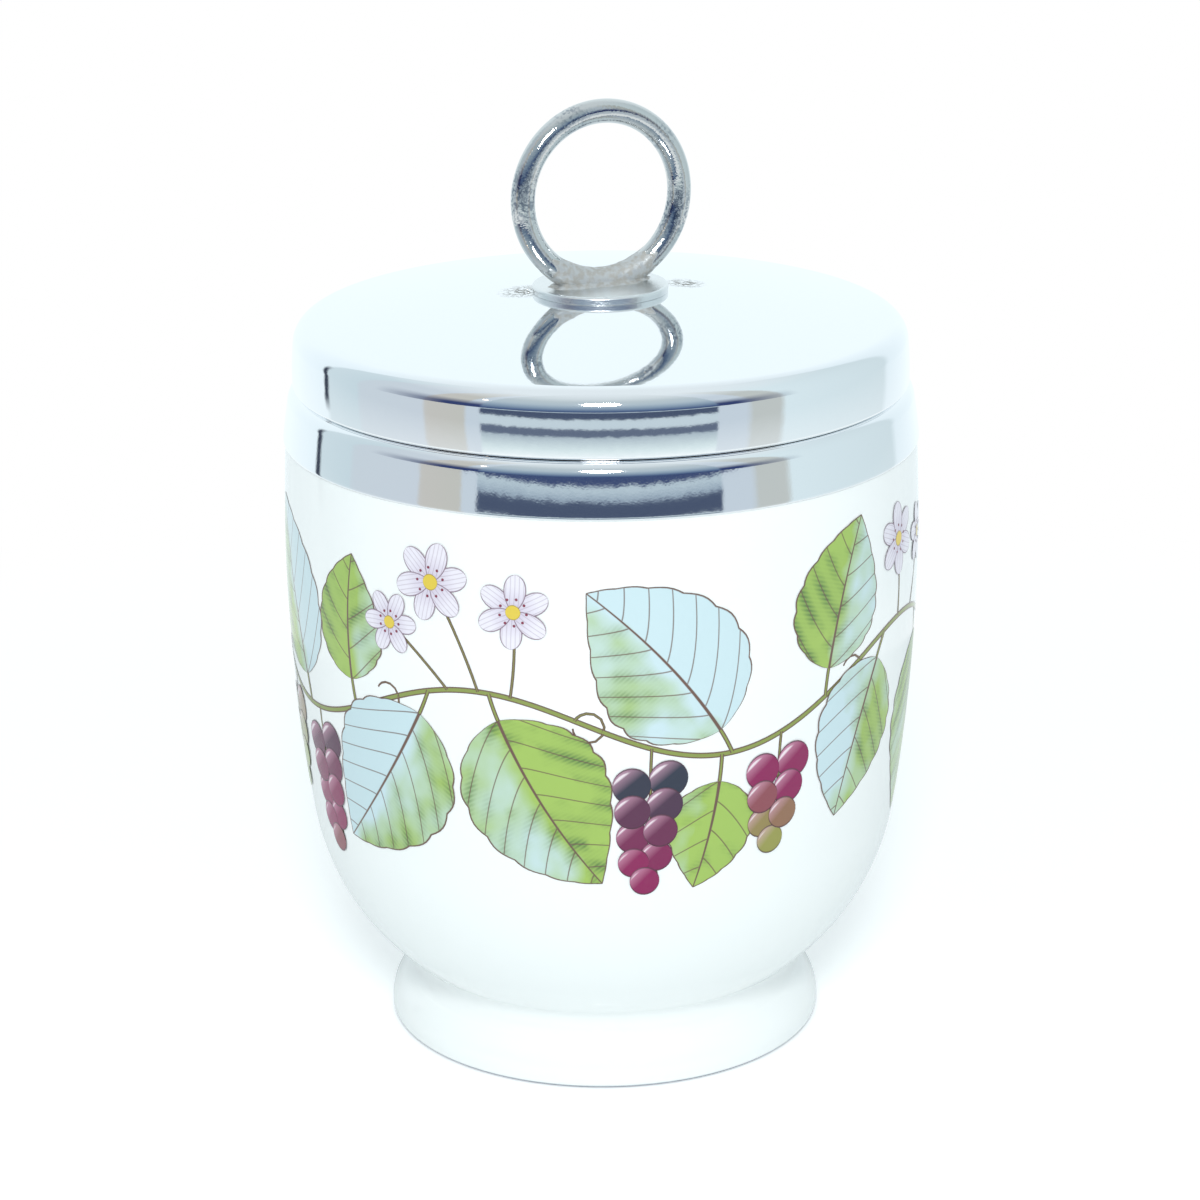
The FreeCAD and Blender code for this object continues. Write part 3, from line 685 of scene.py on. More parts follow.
class CODDLER_OT_lid(bpy.types.Operator):
    """Build the plated cap and its threaded liner, and finish the washer inside"""

    bl_idname = "coddler.lid"
    bl_label = "Lid"

    def execute(self, context):
        lid = context.scene.coddler_lid
        thread = context.scene.coddler_thread
        cap = around(*lid_section(lid), columns=360)
        plate = context.scene.coddler_collar.plate
        plate = bright_plate("chromium_plate_lid", plate, 0.04, 0.1, 0.06)
        # Where the seat was soldered the plate round it has lifted, on both sides.
        spots = [(-6.3, 2.8, 70.8, 2.8), (8.4, -0.25, 70.8, 2.2)]
        pitted(plate, spots, 0.4, 0.08, "#8C8A84", 0.5)
        surface("domed_cap", [cap], "lid", plate, ["lid_cap"])
        bore = lid.liner_outer - lid.liner_sheet
        under = lid.liner_top - lid.liner_sheet
        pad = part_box("lid_liner")[1][2] / MM
        under_pad = pad - lid.liner_sheet
        rows = np.linspace(under - 0.2, lid.liner_bottom + 0.15, 45)
        section = outline(
            (bore, lid.liner_bottom, 0.0),
            (lid.liner_outer, lid.liner_bottom, 0.15),
            (lid.liner_outer, lid.liner_top, 1.0),
            (lid.pad_foot, lid.liner_top, 0.8),
            (lid.pad_radius, pad, 0.5),
            (lid.hole, pad, 0.05),
            (lid.hole, under_pad, 0.05),
            (lid.pad_radius, under_pad, 0.5),
            (lid.pad_foot, under, 0.8),
            (bore, under, 0.15),
            *[(bore, height, 0.0) for height in rows],
            (bore, lid.liner_bottom, 0.0),
        )
        grid = threaded(around(*section, columns=360), bore, -1, thread.liner_rise, 1)
        sheet = plain_finish("pressed_sheet_liner", lid.liner_metal, 1.0, 0.28, 0.4, 0.004)
        surface("threaded_liner", [grid], "lid", sheet, ["lid_liner"])
        refinish("seat_washer", sheet)
        return {"FINISHED"}


class CODDLER_OT_seal(bpy.types.Operator):
    """Build the rubber washer between rim and liner"""

    bl_idname = "coddler.seal"
    bl_label = "Sealing washer"

    def execute(self, context):
        low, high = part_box("sealing_washer")
        outer, bottom, top = high[0] / MM, low[2] / MM, high[2] / MM
        inset, edge = 0.4, 0.12
        inner = context.scene.coddler_collar.lip_radius + inset
        corners = ((inner, bottom), (outer, bottom), (outer, top), (inner, top))
        section = outline(*[(*corner, edge) for corner in corners])
        washer = around(*[np.concatenate([array, array[:1]]) for array in section])
        lid = context.scene.coddler_lid
        rubber = plain_finish("moulded_rubber", lid.rubber, 0.0, 0.7, 0.3, 0.01)
        surface("rubber_seal", [washer], "seal", rubber, ["sealing_washer"])
        return {"FINISHED"}


# ---------------------------------------------------------------- ring

ACROSS = np.array([0.0, 1.0, 0.0])  # square to the ring's plane
FILED = -0.02  # height of the wire's filed foot over its seat's top, in mm


class CODDLER_OT_ring(bpy.types.Operator):
    """Build the ring's seat, the bent wire ring and the braze that holds it"""

    bl_idname = "coddler.ring"
    bl_label = "Lift ring"

    def execute(self, context):
        ring = context.scene.coddler_ring
        low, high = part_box("ring_seat")
        foot, seat_top = low[2] / MM, high[2] / MM
        land, head_top = seat_top - ring.seat_height, foot + ring.head_height
        section = outline(
            (0.0, foot, 0.0),
            (ring.head, foot, 0.2),
            (ring.head, head_top, 0.1),
            (ring.shank, head_top, 0.0),
            (ring.shank, land, 0.0),
            (ring.seat_radius - 0.07, land, 0.1),
            (ring.seat_radius, seat_top, ring.seat_round),
            (0.0, seat_top, 0.0),
        )
        seat = around(*section, columns=160)
        worn = bright_plate("chromium_plate_seat", ring.worn, 0.27, 0.5, 1.5)
        surface("ring_seat_disc", [seat], "seat", worn, ["ring_seat"])
        plate = bright_plate("chromium_plate_ring", ring.plate, 0.045, 0.6, 1.5)
        # The wire's plate is pitted where fingers hold it: angle in degrees, and reach in mm.
        spots = []
        for angle, reach in ((176, 3.4), (112, 2.0), (42, 2.0), (-16, 3.4)):
            along, up = ring.radius * toward(math.radians(angle))
            spots.append((along, 0.0, seat_top + ring.rise + up, reach))
        pitted(plate, spots, 0.3, 0.001, "#8A929D", 0.06)
        wire = self.wire(ring, seat_top)
        surface("bent_wire_ring", [wire], "lid", plate, ["lift_ring"])
        filler = [self.coat(ring, seat_top), self.fillet(ring, seat_top)]
        surface("ring_braze", filler, "lid", run_braze(ring))
        return {"FINISHED"}

    def leaned(self, ring, way):
        """A direction or a place above the seat, turned about the Y axis by the ring's lean."""
        cosine, sine = toward(ring.lean)
        return way @ np.array([[cosine, 0, -sine], [0, 1, 0], [sine, 0, cosine]])

    def seated(self, ring, points, seat_top):
        """Places round the ring's own centre, leaned and filed flat where they meet the seat."""
        points[..., 2] += ring.rise
        points = self.leaned(ring, points)
        points[..., 2] = np.maximum(points[..., 2], FILED) + seat_top
        return points

    def coat(self, ring, seat_top):
        """A film on the wire's lowest part: a tube of the wire's radius and a little more, which
        sinks into the wire past a ragged edge."""
        angle = np.linspace(-0.8, 0.8, 65)[:, None]
        turn = np.linspace(0, 2 * math.pi, 65)[None]
        edge = 0.6 + 0.06 * np.sin(3 * turn + 1) + 0.04 * np.sin(7 * turn + 2)
        film = np.clip((edge - np.abs(angle)) / 0.12, -1, 1)
        lumps = np.sin(31 * angle + 2 * np.sin(3 * turn)) * np.sin(5 * turn + 9 * angle)
        radius = ring.wire + 0.04 + 0.06 * film + 0.02 * lumps * (film > 0)
        radius[0] = radius[-1] = 0.0
        spoke = np.concatenate([np.sin(angle), 0 * angle, -np.cos(angle)], axis=1)[:, None]
        facing = np.cos(turn)[..., None] * spoke + np.sin(turn)[..., None] * ACROSS
        points = spoke * ring.radius + radius[..., None] * facing
        return {"points": self.seated(ring, points, seat_top)}

    def wire(self, ring, seat_top):
        """A tube along the circle (R cos a, R sin a), whose end drifts aside to lap its start.

        Its radius falls to nothing at both ends as a quarter circle does, which rounds them, and
        it is filed flat where it stands on its seat.
        """
        drift, drifting, overrun = -0.06, 6.0, 0.04
        last = 1.5 * math.pi + ring.lap / ring.radius
        angle = np.linspace(-math.pi / 2 - overrun, last, 361)
        travel = (angle - angle[0]) * ring.radius
        left = (angle[-1] - angle) * ring.radius
        ends = np.minimum(travel, left)
        ends[0] = ends[-1] = 0.0
        swell = np.sqrt(np.clip(1 - (1 - np.clip(ends / ring.wire, 0, 1)) ** 2, 0, 1))
        turn = np.linspace(0, 2 * math.pi, 49)[None, :, None]
        spoke = np.stack([np.cos(angle), np.zeros_like(angle), np.sin(angle)], axis=1)
        centre = spoke * ring.radius
        centre[:, 1] += drift * np.clip(1 - left / drifting, 0, 1) ** 2
        facing = np.cos(turn) * spoke[:, None] + np.sin(turn) * ACROSS
        points = centre[:, None] + (ring.wire * swell)[:, None, None] * facing
        return {
            "points": self.seated(ring, points, seat_top),
            "normals": self.leaned(ring, facing),
        }

    def fillet(self, ring, seat_top):
        """A mound between wire and seat: an ellipse in plan, whose section falls off as a power
        of the distance from the wire and whose skin is roughened by a few sine waves."""
        reach, width, crest_height, sunk = 5.2, 2.0, 1.3, 0.06
        angle = np.linspace(0, 2 * math.pi, 121)[None]
        out = np.linspace(1, 0, 25)[:, None]
        ragged = 1 + 0.05 * np.sin(5 * angle + 1) + 0.04 * np.sin(11 * angle)
        x = reach * out * np.cos(angle) * ragged
        y = width * out * np.sin(angle) * ragged
        wire = ring.rise - np.sqrt(np.maximum(ring.radius**2 - x**2, 0))
        ends = np.clip((reach - np.abs(x)) / 1.4, 0, 1) ** 0.5
        crest = np.clip(wire + 0.1, 0, crest_height) * ends
        crest += 0.35 * np.clip(1 - np.abs(x) / 5, 0, 1)
        lumps = 0.03 * np.sin(3.1 * x + 1.7 * np.sin(4.3 * y)) + 0.03 * np.sin(6.7 * y - 2 * x)
        # One larger blob lies near the mound's left end.
        lumps += 0.2 * np.exp(-(((x + 4.7) / 0.6) ** 2)) * (1 + np.sin(5 * y + 1))
        rise = (crest + lumps) * (1 - out**1.6)
        z = seat_top - sunk / 2 + np.maximum(rise, 0)
        top = np.stack(np.broadcast_arrays(x, y, z), axis=-1)
        below = np.full_like(z, seat_top - sunk)
        floor = np.stack(np.broadcast_arrays(x, y, below), axis=-1)[:1]
        centre = floor * [0, 0, 1]
        return {"points": np.concatenate([centre, floor, top])}


# ---------------------------------------------------------------- fired vine

# Leaves of one repeat: place along the vine, heading, length, half-width, bend, tone.
LEAVES = (
    (12.3, 106, 17.0, 6.3, 16, 0.3),
    (21.3, 96, 12.0, 4.5, -18, 0.75),
    (30.3, -118, 18.5, 6.9, -18, 0.15),
    (36.3, -68, 18.0, 6.8, 18, 0.7),
    (57.3, -96, 10.5, 4.2, -12, 0.9),
    (58.3, 122, 18.0, 6.8, 20, 0.1),
    (68.3, 80, 14.0, 5.4, -16, 0.55),
    (77.3, -118, 15.0, 5.8, 16, 0.35),
    (87.3, -88, 17.5, 6.5, -14, 0.8),
)
# Currant strings: place along the vine, heading, number of pairs, ripeness at its top and tip.
STRINGS = (
    (6.3, -92, 3, 0.3, 0.0),
    (14.3, -88, 4, 0.85, 0.4),
    (50.8, -93, 4, 1.0, 0.55),
    (63.3, -94, 3, 0.6, 0.2),
)
# Blossoms: place along the vine, heading and length of the stalk, radius of the flower.
BLOSSOMS = (
    (32.3, 132, 8.0, 3.0),
    (35.3, 108, 10.5, 3.7),
    (38.3, 80, 8.0, 3.4),
    (80.3, 86, 7.5, 3.5),
    (84.3, 62, 7.0, 3.0),
)
# Tendrils: place along the vine, heading, length, bend.
TENDRILS = (
    (2.0, 110, 8.0, -320),
    (24.5, -60, 7.0, 300),
    (44.0, 62, 8.0, -330),
    (70.5, -70, 7.5, 310),
)
# Half-widths of the drawn lines, in mm.
VINE_HALF, LEAF_STALK, FRUIT_STALK, FLOWER_STALK = 0.27, 0.2, 0.15, 0.14
TENDRIL_HALF = (0.16, 0.08)
# Layers of colour, from the glaze out: what lies higher hides what lies lower.
STEM_LAYER, LEAF_LAYER, FRUIT_LAYER, HEART_LAYER = 0, 1, 6, 9


def on_side(across, up, lift):
    """A point of the flat design, in mm from its middle, laid on the cup's side, and its normal."""
    cup, design = bpy.context.scene.coddler_cup, bpy.context.scene.coddler_print
    height = design.middle + up
    angle = design.facing + across / cup.belly_radius
    cosine, sine = np.cos(angle), np.sin(angle)
    radius, lean = side_at(height)
    radius = radius + lift
    place = np.stack([radius * cosine, radius * sine, height], axis=-1)
    level = np.cos(lean)
    return place, np.stack([level * cosine, level * sine, np.sin(lean)], axis=-1)


def patch(line, half, columns, layer, tone):
    """A thin closed patch along a line: line(u) + v * half(u) * normal(u), v from -1 to 1 and back.

    Its marks give the distance along it, across it and in from its edge in mm, and its tone.
    """
    way = np.gradient(line, axis=0)
    way /= np.maximum(np.linalg.norm(way, axis=1, keepdims=True), 1e-9)
    normal = np.stack([-way[:, 1], way[:, 0]], axis=1)
    v = np.concatenate([np.linspace(1, -1, columns), np.linspace(-1, 1, columns), [1.0]])
    top = np.concatenate([np.ones(columns), np.zeros(columns), [1.0]])
    flat = line[:, None] + v[None, :, None] * half[:, None, None] * normal[:, None]
    lift = bpy.context.scene.coddler_print.lift * (layer + top)[None]
    points, normals = on_side(flat[..., 0], flat[..., 1], lift)
    steps = np.concatenate([[0], np.cumsum(np.linalg.norm(np.diff(line, axis=0), axis=1))])
    whole = np.ones_like(v)[None]
    marks = {
        "along": steps[:, None] * whole,
        "across": half[:, None] * v[None],
        "edge": half[:, None] * (1 - np.abs(v))[None],
        "share": (steps / steps[-1])[:, None] * whole,
        "tone": np.full((len(line), len(v)), tone),
    }
    outward = np.where(top > 0, 1.0, -1.0)[None, :, None]
    return {"points": points, "normals": normals * outward, "marks": marks}


def eased(count):
    """Shares from 0 to 1 that lie closer together at both ends: (1 - cos t) / 2."""
    return (1 - np.cos(np.linspace(0, math.pi, count))) / 2


def bent(start, heading, reach, bend, count):
    """Points along an arc: it starts at a heading in degrees and turns by bend degrees."""
    straight = 0.01
    first, turn = math.radians(heading), math.radians(bend or straight)
    angle = first + turn * eased(count)
    across, up = np.sin(angle) - math.sin(first), math.cos(first) - np.cos(angle)
    return np.array(start) + reach / turn * np.stack([across, up], axis=1)


def leaf_shape(count, base, tip):
    """Half-width of a blade along its length, u^base (1 - u)^tip, scaled to reach 1."""
    share = eased(count)
    width = share**base * (1 - share) ** tip
    width[0] = width[-1] = 0.0
    return width / width.max()


def disc(centre, radius, layer, tone, count):
    """A round patch, as wide at each place along its diameter as a circle is."""
    line = bent((centre[0] - radius, centre[1]), 0, 2 * radius, 0, count)
    offset = line[:, 0] - centre[0]
    half = np.sqrt(np.maximum(radius**2 - offset**2, 0))
    half[0] = half[-1] = 0.0
    return patch(line, half, 7, layer, tone)


def repeat_length():
    """Length of one repeat of the design, in mm along the cup's side."""
    scene = bpy.context.scene
    return 2 * math.pi * scene.coddler_cup.belly_radius / scene.coddler_print.repeats


def vine_height(across):
    """Height of the vine's line, a wave with a slower one under it."""
    turn = 2 * math.pi * across / repeat_length()
    return -bpy.context.scene.coddler_print.wave * np.sin(2 * turn) - 0.9 * np.sin(turn - 0.6)


def stalk_from(place, heading, reach, bend, start):
    """A stalk that leaves the vine, as a line of points."""
    root = (start + place, vine_height(place))
    return bent(root, heading, reach, bend, 16)


def drawn(line, half, tone):
    """A stalk's line as a patch of even width."""
    return patch(line, np.full(len(line), half), 3, STEM_LAYER, tone)


class CODDLER_OT_vine(bpy.types.Operator):
    """Build the fired vine: stems, leaves, currants and blossoms"""

    bl_idname = "coddler.vine"
    bl_label = "Fired vine"

    def execute(self, context):
        stems, leaves, currants, petals, hearts = [], [], [], [], []
        repeats, repeat = context.scene.coddler_print.repeats, repeat_length()
        for number in range(repeats):
            start = repeat * (number - 0.5)
            along = np.linspace(0, repeat, 181)
            line = np.stack([start + along, vine_height(along)], axis=1)
            stems.append(patch(line, np.full(len(line), VINE_HALF), 5, STEM_LAYER, 0.5))
            self.add_leaves(start, stems, leaves)
            self.add_currants(start, stems, currants)
            self.add_blossoms(start, stems, petals, hearts)
            for place, heading, reach, bend in TENDRILS:
                curl = stalk_from(place, heading, reach, bend, start)
                half = np.linspace(*TENDRIL_HALF, len(curl))
                stems.append(patch(curl, half, 3, STEM_LAYER, 0.2))
        for name, patches, enamelled in (
            ("vine_print", stems, stem_enamel()),
            ("leaf_print", leaves, leaf_enamel()),
            ("currant_print", currants, currant_enamel()),
            ("petal_print", petals, petal_enamel()),
            ("stamen_print", hearts, stamen_enamel()),
        ):
            surface(name, patches, "cup", enamelled)
        return {"FINISHED"}

    def add_leaves(self, start, stems, leaves):
        """Leaves with a scalloped edge, each on a short stalk that takes part of its bend."""
        for number, (place, heading, reach, half, bend, tone) in enumerate(LEAVES):
            stalk = stalk_from(place, heading - bend * 0.4, 2.6, bend * 0.4, start)
            stems.append(drawn(stalk, LEAF_STALK, 0.4))
            line = bent(stalk[-1], heading, reach, bend, 61)
            scallops = 1 + 0.05 * np.abs(np.sin(np.linspace(0, 10 * math.pi, 61)))
            shape = leaf_shape(61, 0.62, 0.95) * half * scallops
            leaves.append(patch(line, shape, 13, LEAF_LAYER + number % 4, tone))

    def add_currants(self, start, stems, currants):
        """Strings of fruit in pairs that grow smaller towards a single last one."""
        step, first, apart = 2.5, 2.9, 0.7
        for place, heading, pairs, top, tip in STRINGS:
            stalk = stalk_from(place, heading, 3.0 + step * pairs, 12, start)
            stems.append(drawn(stalk, FRUIT_STALK, 0.3))
            way = toward(math.radians(heading))
            side = np.array([-way[1], way[0]])
            last = 2 * pairs
            for number in range(last + 1):
                share = number / last
                reach = first + step * (number // 2) + apart * (number % 2)
                sway = (1.7 - 0.8 * share) * (-1 if number % 2 else 1)
                if number == last:
                    sway = 0.15
                root = np.array([start + place, vine_height(place)])
                centre = root + way * reach + side * sway
                ripeness = top + (tip - top) * share
                layer = FRUIT_LAYER + number % 5
                currants.append(disc(centre, 1.8 - 0.4 * share, layer, ripeness, 15))

    def add_blossoms(self, start, stems, petals, hearts):
        """Six-petalled flowers with a round heart and nine stamens."""
        for number, (place, heading, reach, size) in enumerate(BLOSSOMS):
            stalk = stalk_from(place, heading, reach, 14, start)
            stems.append(drawn(stalk, FLOWER_STALK, 0.3))
            middle = stalk[-1]
            for petal in range(6):
                line = bent(middle, 60 * petal + 11 * number, size, 8, 17)
                shape = leaf_shape(17, 0.75, 0.5) * size * 0.3
                petals.append(patch(line, shape, 7, FRUIT_LAYER + petal % 2, number / 5))
            hearts.append(disc(middle, size * 0.2, HEART_LAYER, 1.0, 11))
            for stamen in range(9):
                spot = middle + size * 0.36 * toward(2 * math.pi * stamen / 9 + number)
                hearts.append(disc(spot, 0.13, HEART_LAYER, 0.0, 7))


def enamel(name, *marks):
    """On-glaze enamel: transparent colour fired into the glaze, and as glossy as it. It comes with
    the outputs of the marks that it reads."""
    material, tree, shader = finish(name, Roughness=0.1, IOR=1.5)
    read = [add(tree, ATTRIBUTE, attribute_name=mark).outputs["Fac"] for mark in marks]
    return material, tree, shader, read


def stem_enamel():
    """Green-brown line with a darker pen edge 0.1 mm wide."""
    design = bpy.context.scene.coddler_print
    material, tree, shader, (edge,) = enamel("stem_enamel", "edge")
    pen = add(tree, RANGE, {"Value": edge, 1: 0.08, 2: 0.14, 3: 1.0, 4: 0.0})
    body = add(tree, MIX, {0: pen, 6: design.stem, 7: design.outline})
    feed(tree, shader, Base_Color=body)
    return material


def leaf_enamel():
    """Washes of pale blue and green under brown pen lines: outline, midrib and side veins."""
    design = bpy.context.scene.coddler_print
    material, tree, shader, marks = enamel(
        "leaf_enamel", "along", "across", "edge", "tone", "share"
    )
    along, across, edge, tone, share = marks
    place = add(tree, COORDINATES).outputs["Object"]
    # Washes run together over about 5 mm.
    cloud = add(tree, NOISE, {"Vector": place, "Scale": 190.0, "Detail": 2.0})
    side = add(tree, RANGE, {"Value": across, 1: -1.6, 2: 1.6, 3: -0.28, 4: 0.28})
    blend = add(tree, MATH, {0: cloud, 1: side}, operation="ADD")
    blend = add(tree, MATH, {0: blend, 1: tone}, operation="ADD")
    green = add(tree, RANGE, {"Value": blend, 1: 0.65, 2: 1.15})
    wash = add(tree, MIX, {0: green, 6: design.leaf_blue, 7: design.leaf_green})
    # Side veins 2.8 mm apart that run forward as they leave the midrib.
    reach = add(tree, MATH, {0: across}, operation="ABSOLUTE")
    curve = add(tree, MATH, {0: reach, 1: 1.2}, operation="POWER")
    forward = add(tree, MATH, {0: curve, 1: -0.62, 2: along}, operation="MULTIPLY_ADD")
    offset = add(tree, MATH, {0: across, 1: 0.0}, operation="GREATER_THAN")
    forward = add(tree, MATH, {0: offset, 1: 0.9, 2: forward}, operation="MULTIPLY_ADD")
    vein = add(tree, MATH, {0: forward, 1: 1.4}, operation="PINGPONG")
    veins = add(tree, RANGE, {"Value": vein, 1: 0.04, 2: 0.11, 3: 0.8, 4: 0.0})
    # Deep green gathers by each vein in pen strokes 0.36 mm apart.
    behind = add(tree, RANGE, {"Value": vein, 1: 0.0, 2: 1.1, 3: 1.0, 4: 0.15})
    patches = add(tree, NOISE, {"Vector": place, "Scale": 200.0, "Detail": 3.0})
    depth = add(tree, RANGE, {"Value": patches, 1: 0.44, 2: 0.6})
    stroke = add(tree, MATH, {0: along, 1: 0.18}, operation="PINGPONG")
    stroke = add(tree, RANGE, {"Value": stroke, 1: 0.04, 2: 0.14, 3: 1.0, 4: 0.55})
    for factor in (behind, green, stroke):
        depth = add(tree, MATH, {0: depth, 1: factor}, operation="MULTIPLY")
    wash = add(tree, MIX, {0: depth, 6: wash, 7: design.leaf_dark})
    rib = add(tree, MATH, {0: share, 1: -0.1, 2: 0.16}, operation="MULTIPLY_ADD")
    rib = add(tree, MATH, {0: rib, 1: reach}, operation="SUBTRACT")
    midrib = add(tree, RANGE, {"Value": rib, 1: -0.04, 2: 0.04})
    pen = add(tree, RANGE, {"Value": edge, 1: 0.1, 2: 0.2, 3: 1.0, 4: 0.0})
    lines = add(tree, MATH, {0: pen, 1: midrib}, operation="MAXIMUM")
    lines = add(tree, MATH, {0: lines, 1: veins}, operation="MAXIMUM")
    body = add(tree, MIX, {0: lines, 6: wash, 7: design.outline})
    feed(tree, shader, Base_Color=body)
    return material


def currant_enamel():
    """Round fruit from green to magenta to blue-black, with a lit side, a glint and a dark edge."""
    design = bpy.context.scene.coddler_print
    material, tree, shader, marks = enamel("currant_enamel", "share", "across", "tone", "edge")
    share, across, tone, edge = marks
    unripe = add(tree, RANGE, {"Value": tone, 1: 0.1, 2: 0.45})
    ripe = add(tree, RANGE, {"Value": tone, 1: 0.6, 2: 0.95})
    left = add(tree, MATH, {0: share, 1: -1.6, 2: 0.8}, operation="MULTIPLY_ADD")
    lit = add(tree, MATH, {0: across, 1: 0.55, 2: left}, operation="MULTIPLY_ADD")
    light = add(tree, RANGE, {"Value": lit, 1: 0.1, 2: 1.1, 3: 0.0, 4: 0.45})
    glint = add(tree, RANGE, {"Value": lit, 1: 0.78, 2: 0.9, 3: 0.0, 4: 0.8})
    inner = add(tree, RANGE, {"Value": edge, 1: 0.3, 2: 0.45})
    glint = add(tree, MATH, {0: glint, 1: inner}, operation="MULTIPLY")
    pen = add(tree, RANGE, {"Value": edge, 1: 0.06, 2: 0.18, 3: 0.85, 4: 0.0})
    body = design.berry_green
    for layer, tint in (
        (unripe, design.berry_ripe),
        (ripe, design.berry_dark),
        (light, linear("#F0B8D2")),
        (glint, linear("#FBEFF5")),
        (pen, linear("#4A2A3A")),
    ):
        body = add(tree, MIX, {0: layer, 6: body, 7: tint})
    feed(tree, shader, Base_Color=body)
    return material


def petal_enamel():
    """Lilac-white petals, greyer towards the middle, with a fine purple-brown edge."""
    design = bpy.context.scene.coddler_print
    material, tree, shader, marks = enamel("petal_enamel", "share", "across", "edge")
    share, across, edge = marks
    shade = add(tree, RANGE, {"Value": share, 1: 0.1, 2: 0.7, 3: 0.55, 4: 0.0})
    body = add(tree, MIX, {0: shade, 6: design.petal, 7: linear("#B9A9C6")})
    vein = add(tree, MATH, {0: across, 1: 0.2}, operation="PINGPONG")
    veins = add(tree, RANGE, {"Value": vein, 1: 0.02, 2: 0.06, 3: 0.3, 4: 0.0})
    pen = add(tree, RANGE, {"Value": edge, 1: 0.05, 2: 0.13, 3: 0.9, 4: 0.0})
    lines = add(tree, MATH, {0: pen, 1: veins}, operation="MAXIMUM")
    body = add(tree, MIX, {0: lines, 6: body, 7: linear("#7C5F72")})
    feed(tree, shader, Base_Color=body)
    return material


def stamen_enamel():
    """Yellow hearts and magenta stamens with a thin brown edge."""
    material, tree, shader, (tone, edge) = enamel("stamen_enamel", "tone", "edge")
    body = add(tree, MIX, {0: tone, 6: linear("#8E2B5E"), 7: linear("#E3C94B")})
    pen = add(tree, RANGE, {"Value": edge, 1: 0.03, 2: 0.1, 3: 0.6, 4: 0.0})
    body = add(tree, MIX, {0: pen, 6: body, 7: linear("#7A5A2A")})
    feed(tree, shader, Base_Color=body)
    return material


# ---------------------------------------------------------------- stage

WHITE = linear("#FFFFFF")
# The mirrored room's walls, by degrees to the right of the way to the camera.
STRIPS = (
    (-180, "#EDF8FC"), (-150, "#EDF8FC"), (-120, "#E3F0F6"), (-119, "#C8D8DE"),
    (-99.5, "#C2D3DA"), (-98, "#C3CED6"), (-67, "#C3CDD6"), (-66, "#BFBEB9"),
    (-50.5, "#BCBDB7"), (-49.5, "#C0CCD6"), (54.5, "#C0CCD6"), (55.5, "#BAC0BE"),
    (68.5, "#BAC0BE"), (69.5, "#D3E3E8"), (127, "#CAD9DE"), (131, "#DFECF2"),
    (160, "#EDF8FC"),
)
# What stands in front of the object, by degrees above the horizon.
BANDS = (
    (-90, "#F6FCFE"), (-20, "#F6FCFE"), (-16, "#D5E4E6"), (-10.9, "#A6B5BF"),
    (-10.6, "#5E6A7F"), (-8.2, "#5E6A7F"), (-7.9, "#BECDD5"), (-4.9, "#BECDD5"),
    (-4.6, "#46526A"), (-1.2, "#46526A"), (-0.9, "#91A2B2"), (1.6, "#BACBD3"),
    (2.0, "#36436A"), (7.0, "#506587"), (20, "#889CAF"), (33, "#AABAC4"),
    (47, "#B5C2C8"), (61, "#CCD6DA"), (76, "#D8E1E5"), (88, "#DDE6EA"),
)


def within(tree, *fades):
    """The product of fades (source, outside, inside), each of which grows from 0 to 1 as its
    source goes from the outside value to the inside one."""
    share = 1.0
    for source, outside, inside in fades:
        fade = add(tree, RANGE, {"Value": source, 1: outside, 2: inside})
        share = add(tree, MATH, {0: fade, 1: share}, operation="MULTIPLY")
    return share


def sky_way(azimuth, elevation):
    """The unit vector towards an azimuth from the front and an elevation, in radians."""
    level = math.cos(elevation)
    return Vector((math.sin(azimuth) * level, -math.cos(azimuth) * level, math.sin(elevation)))


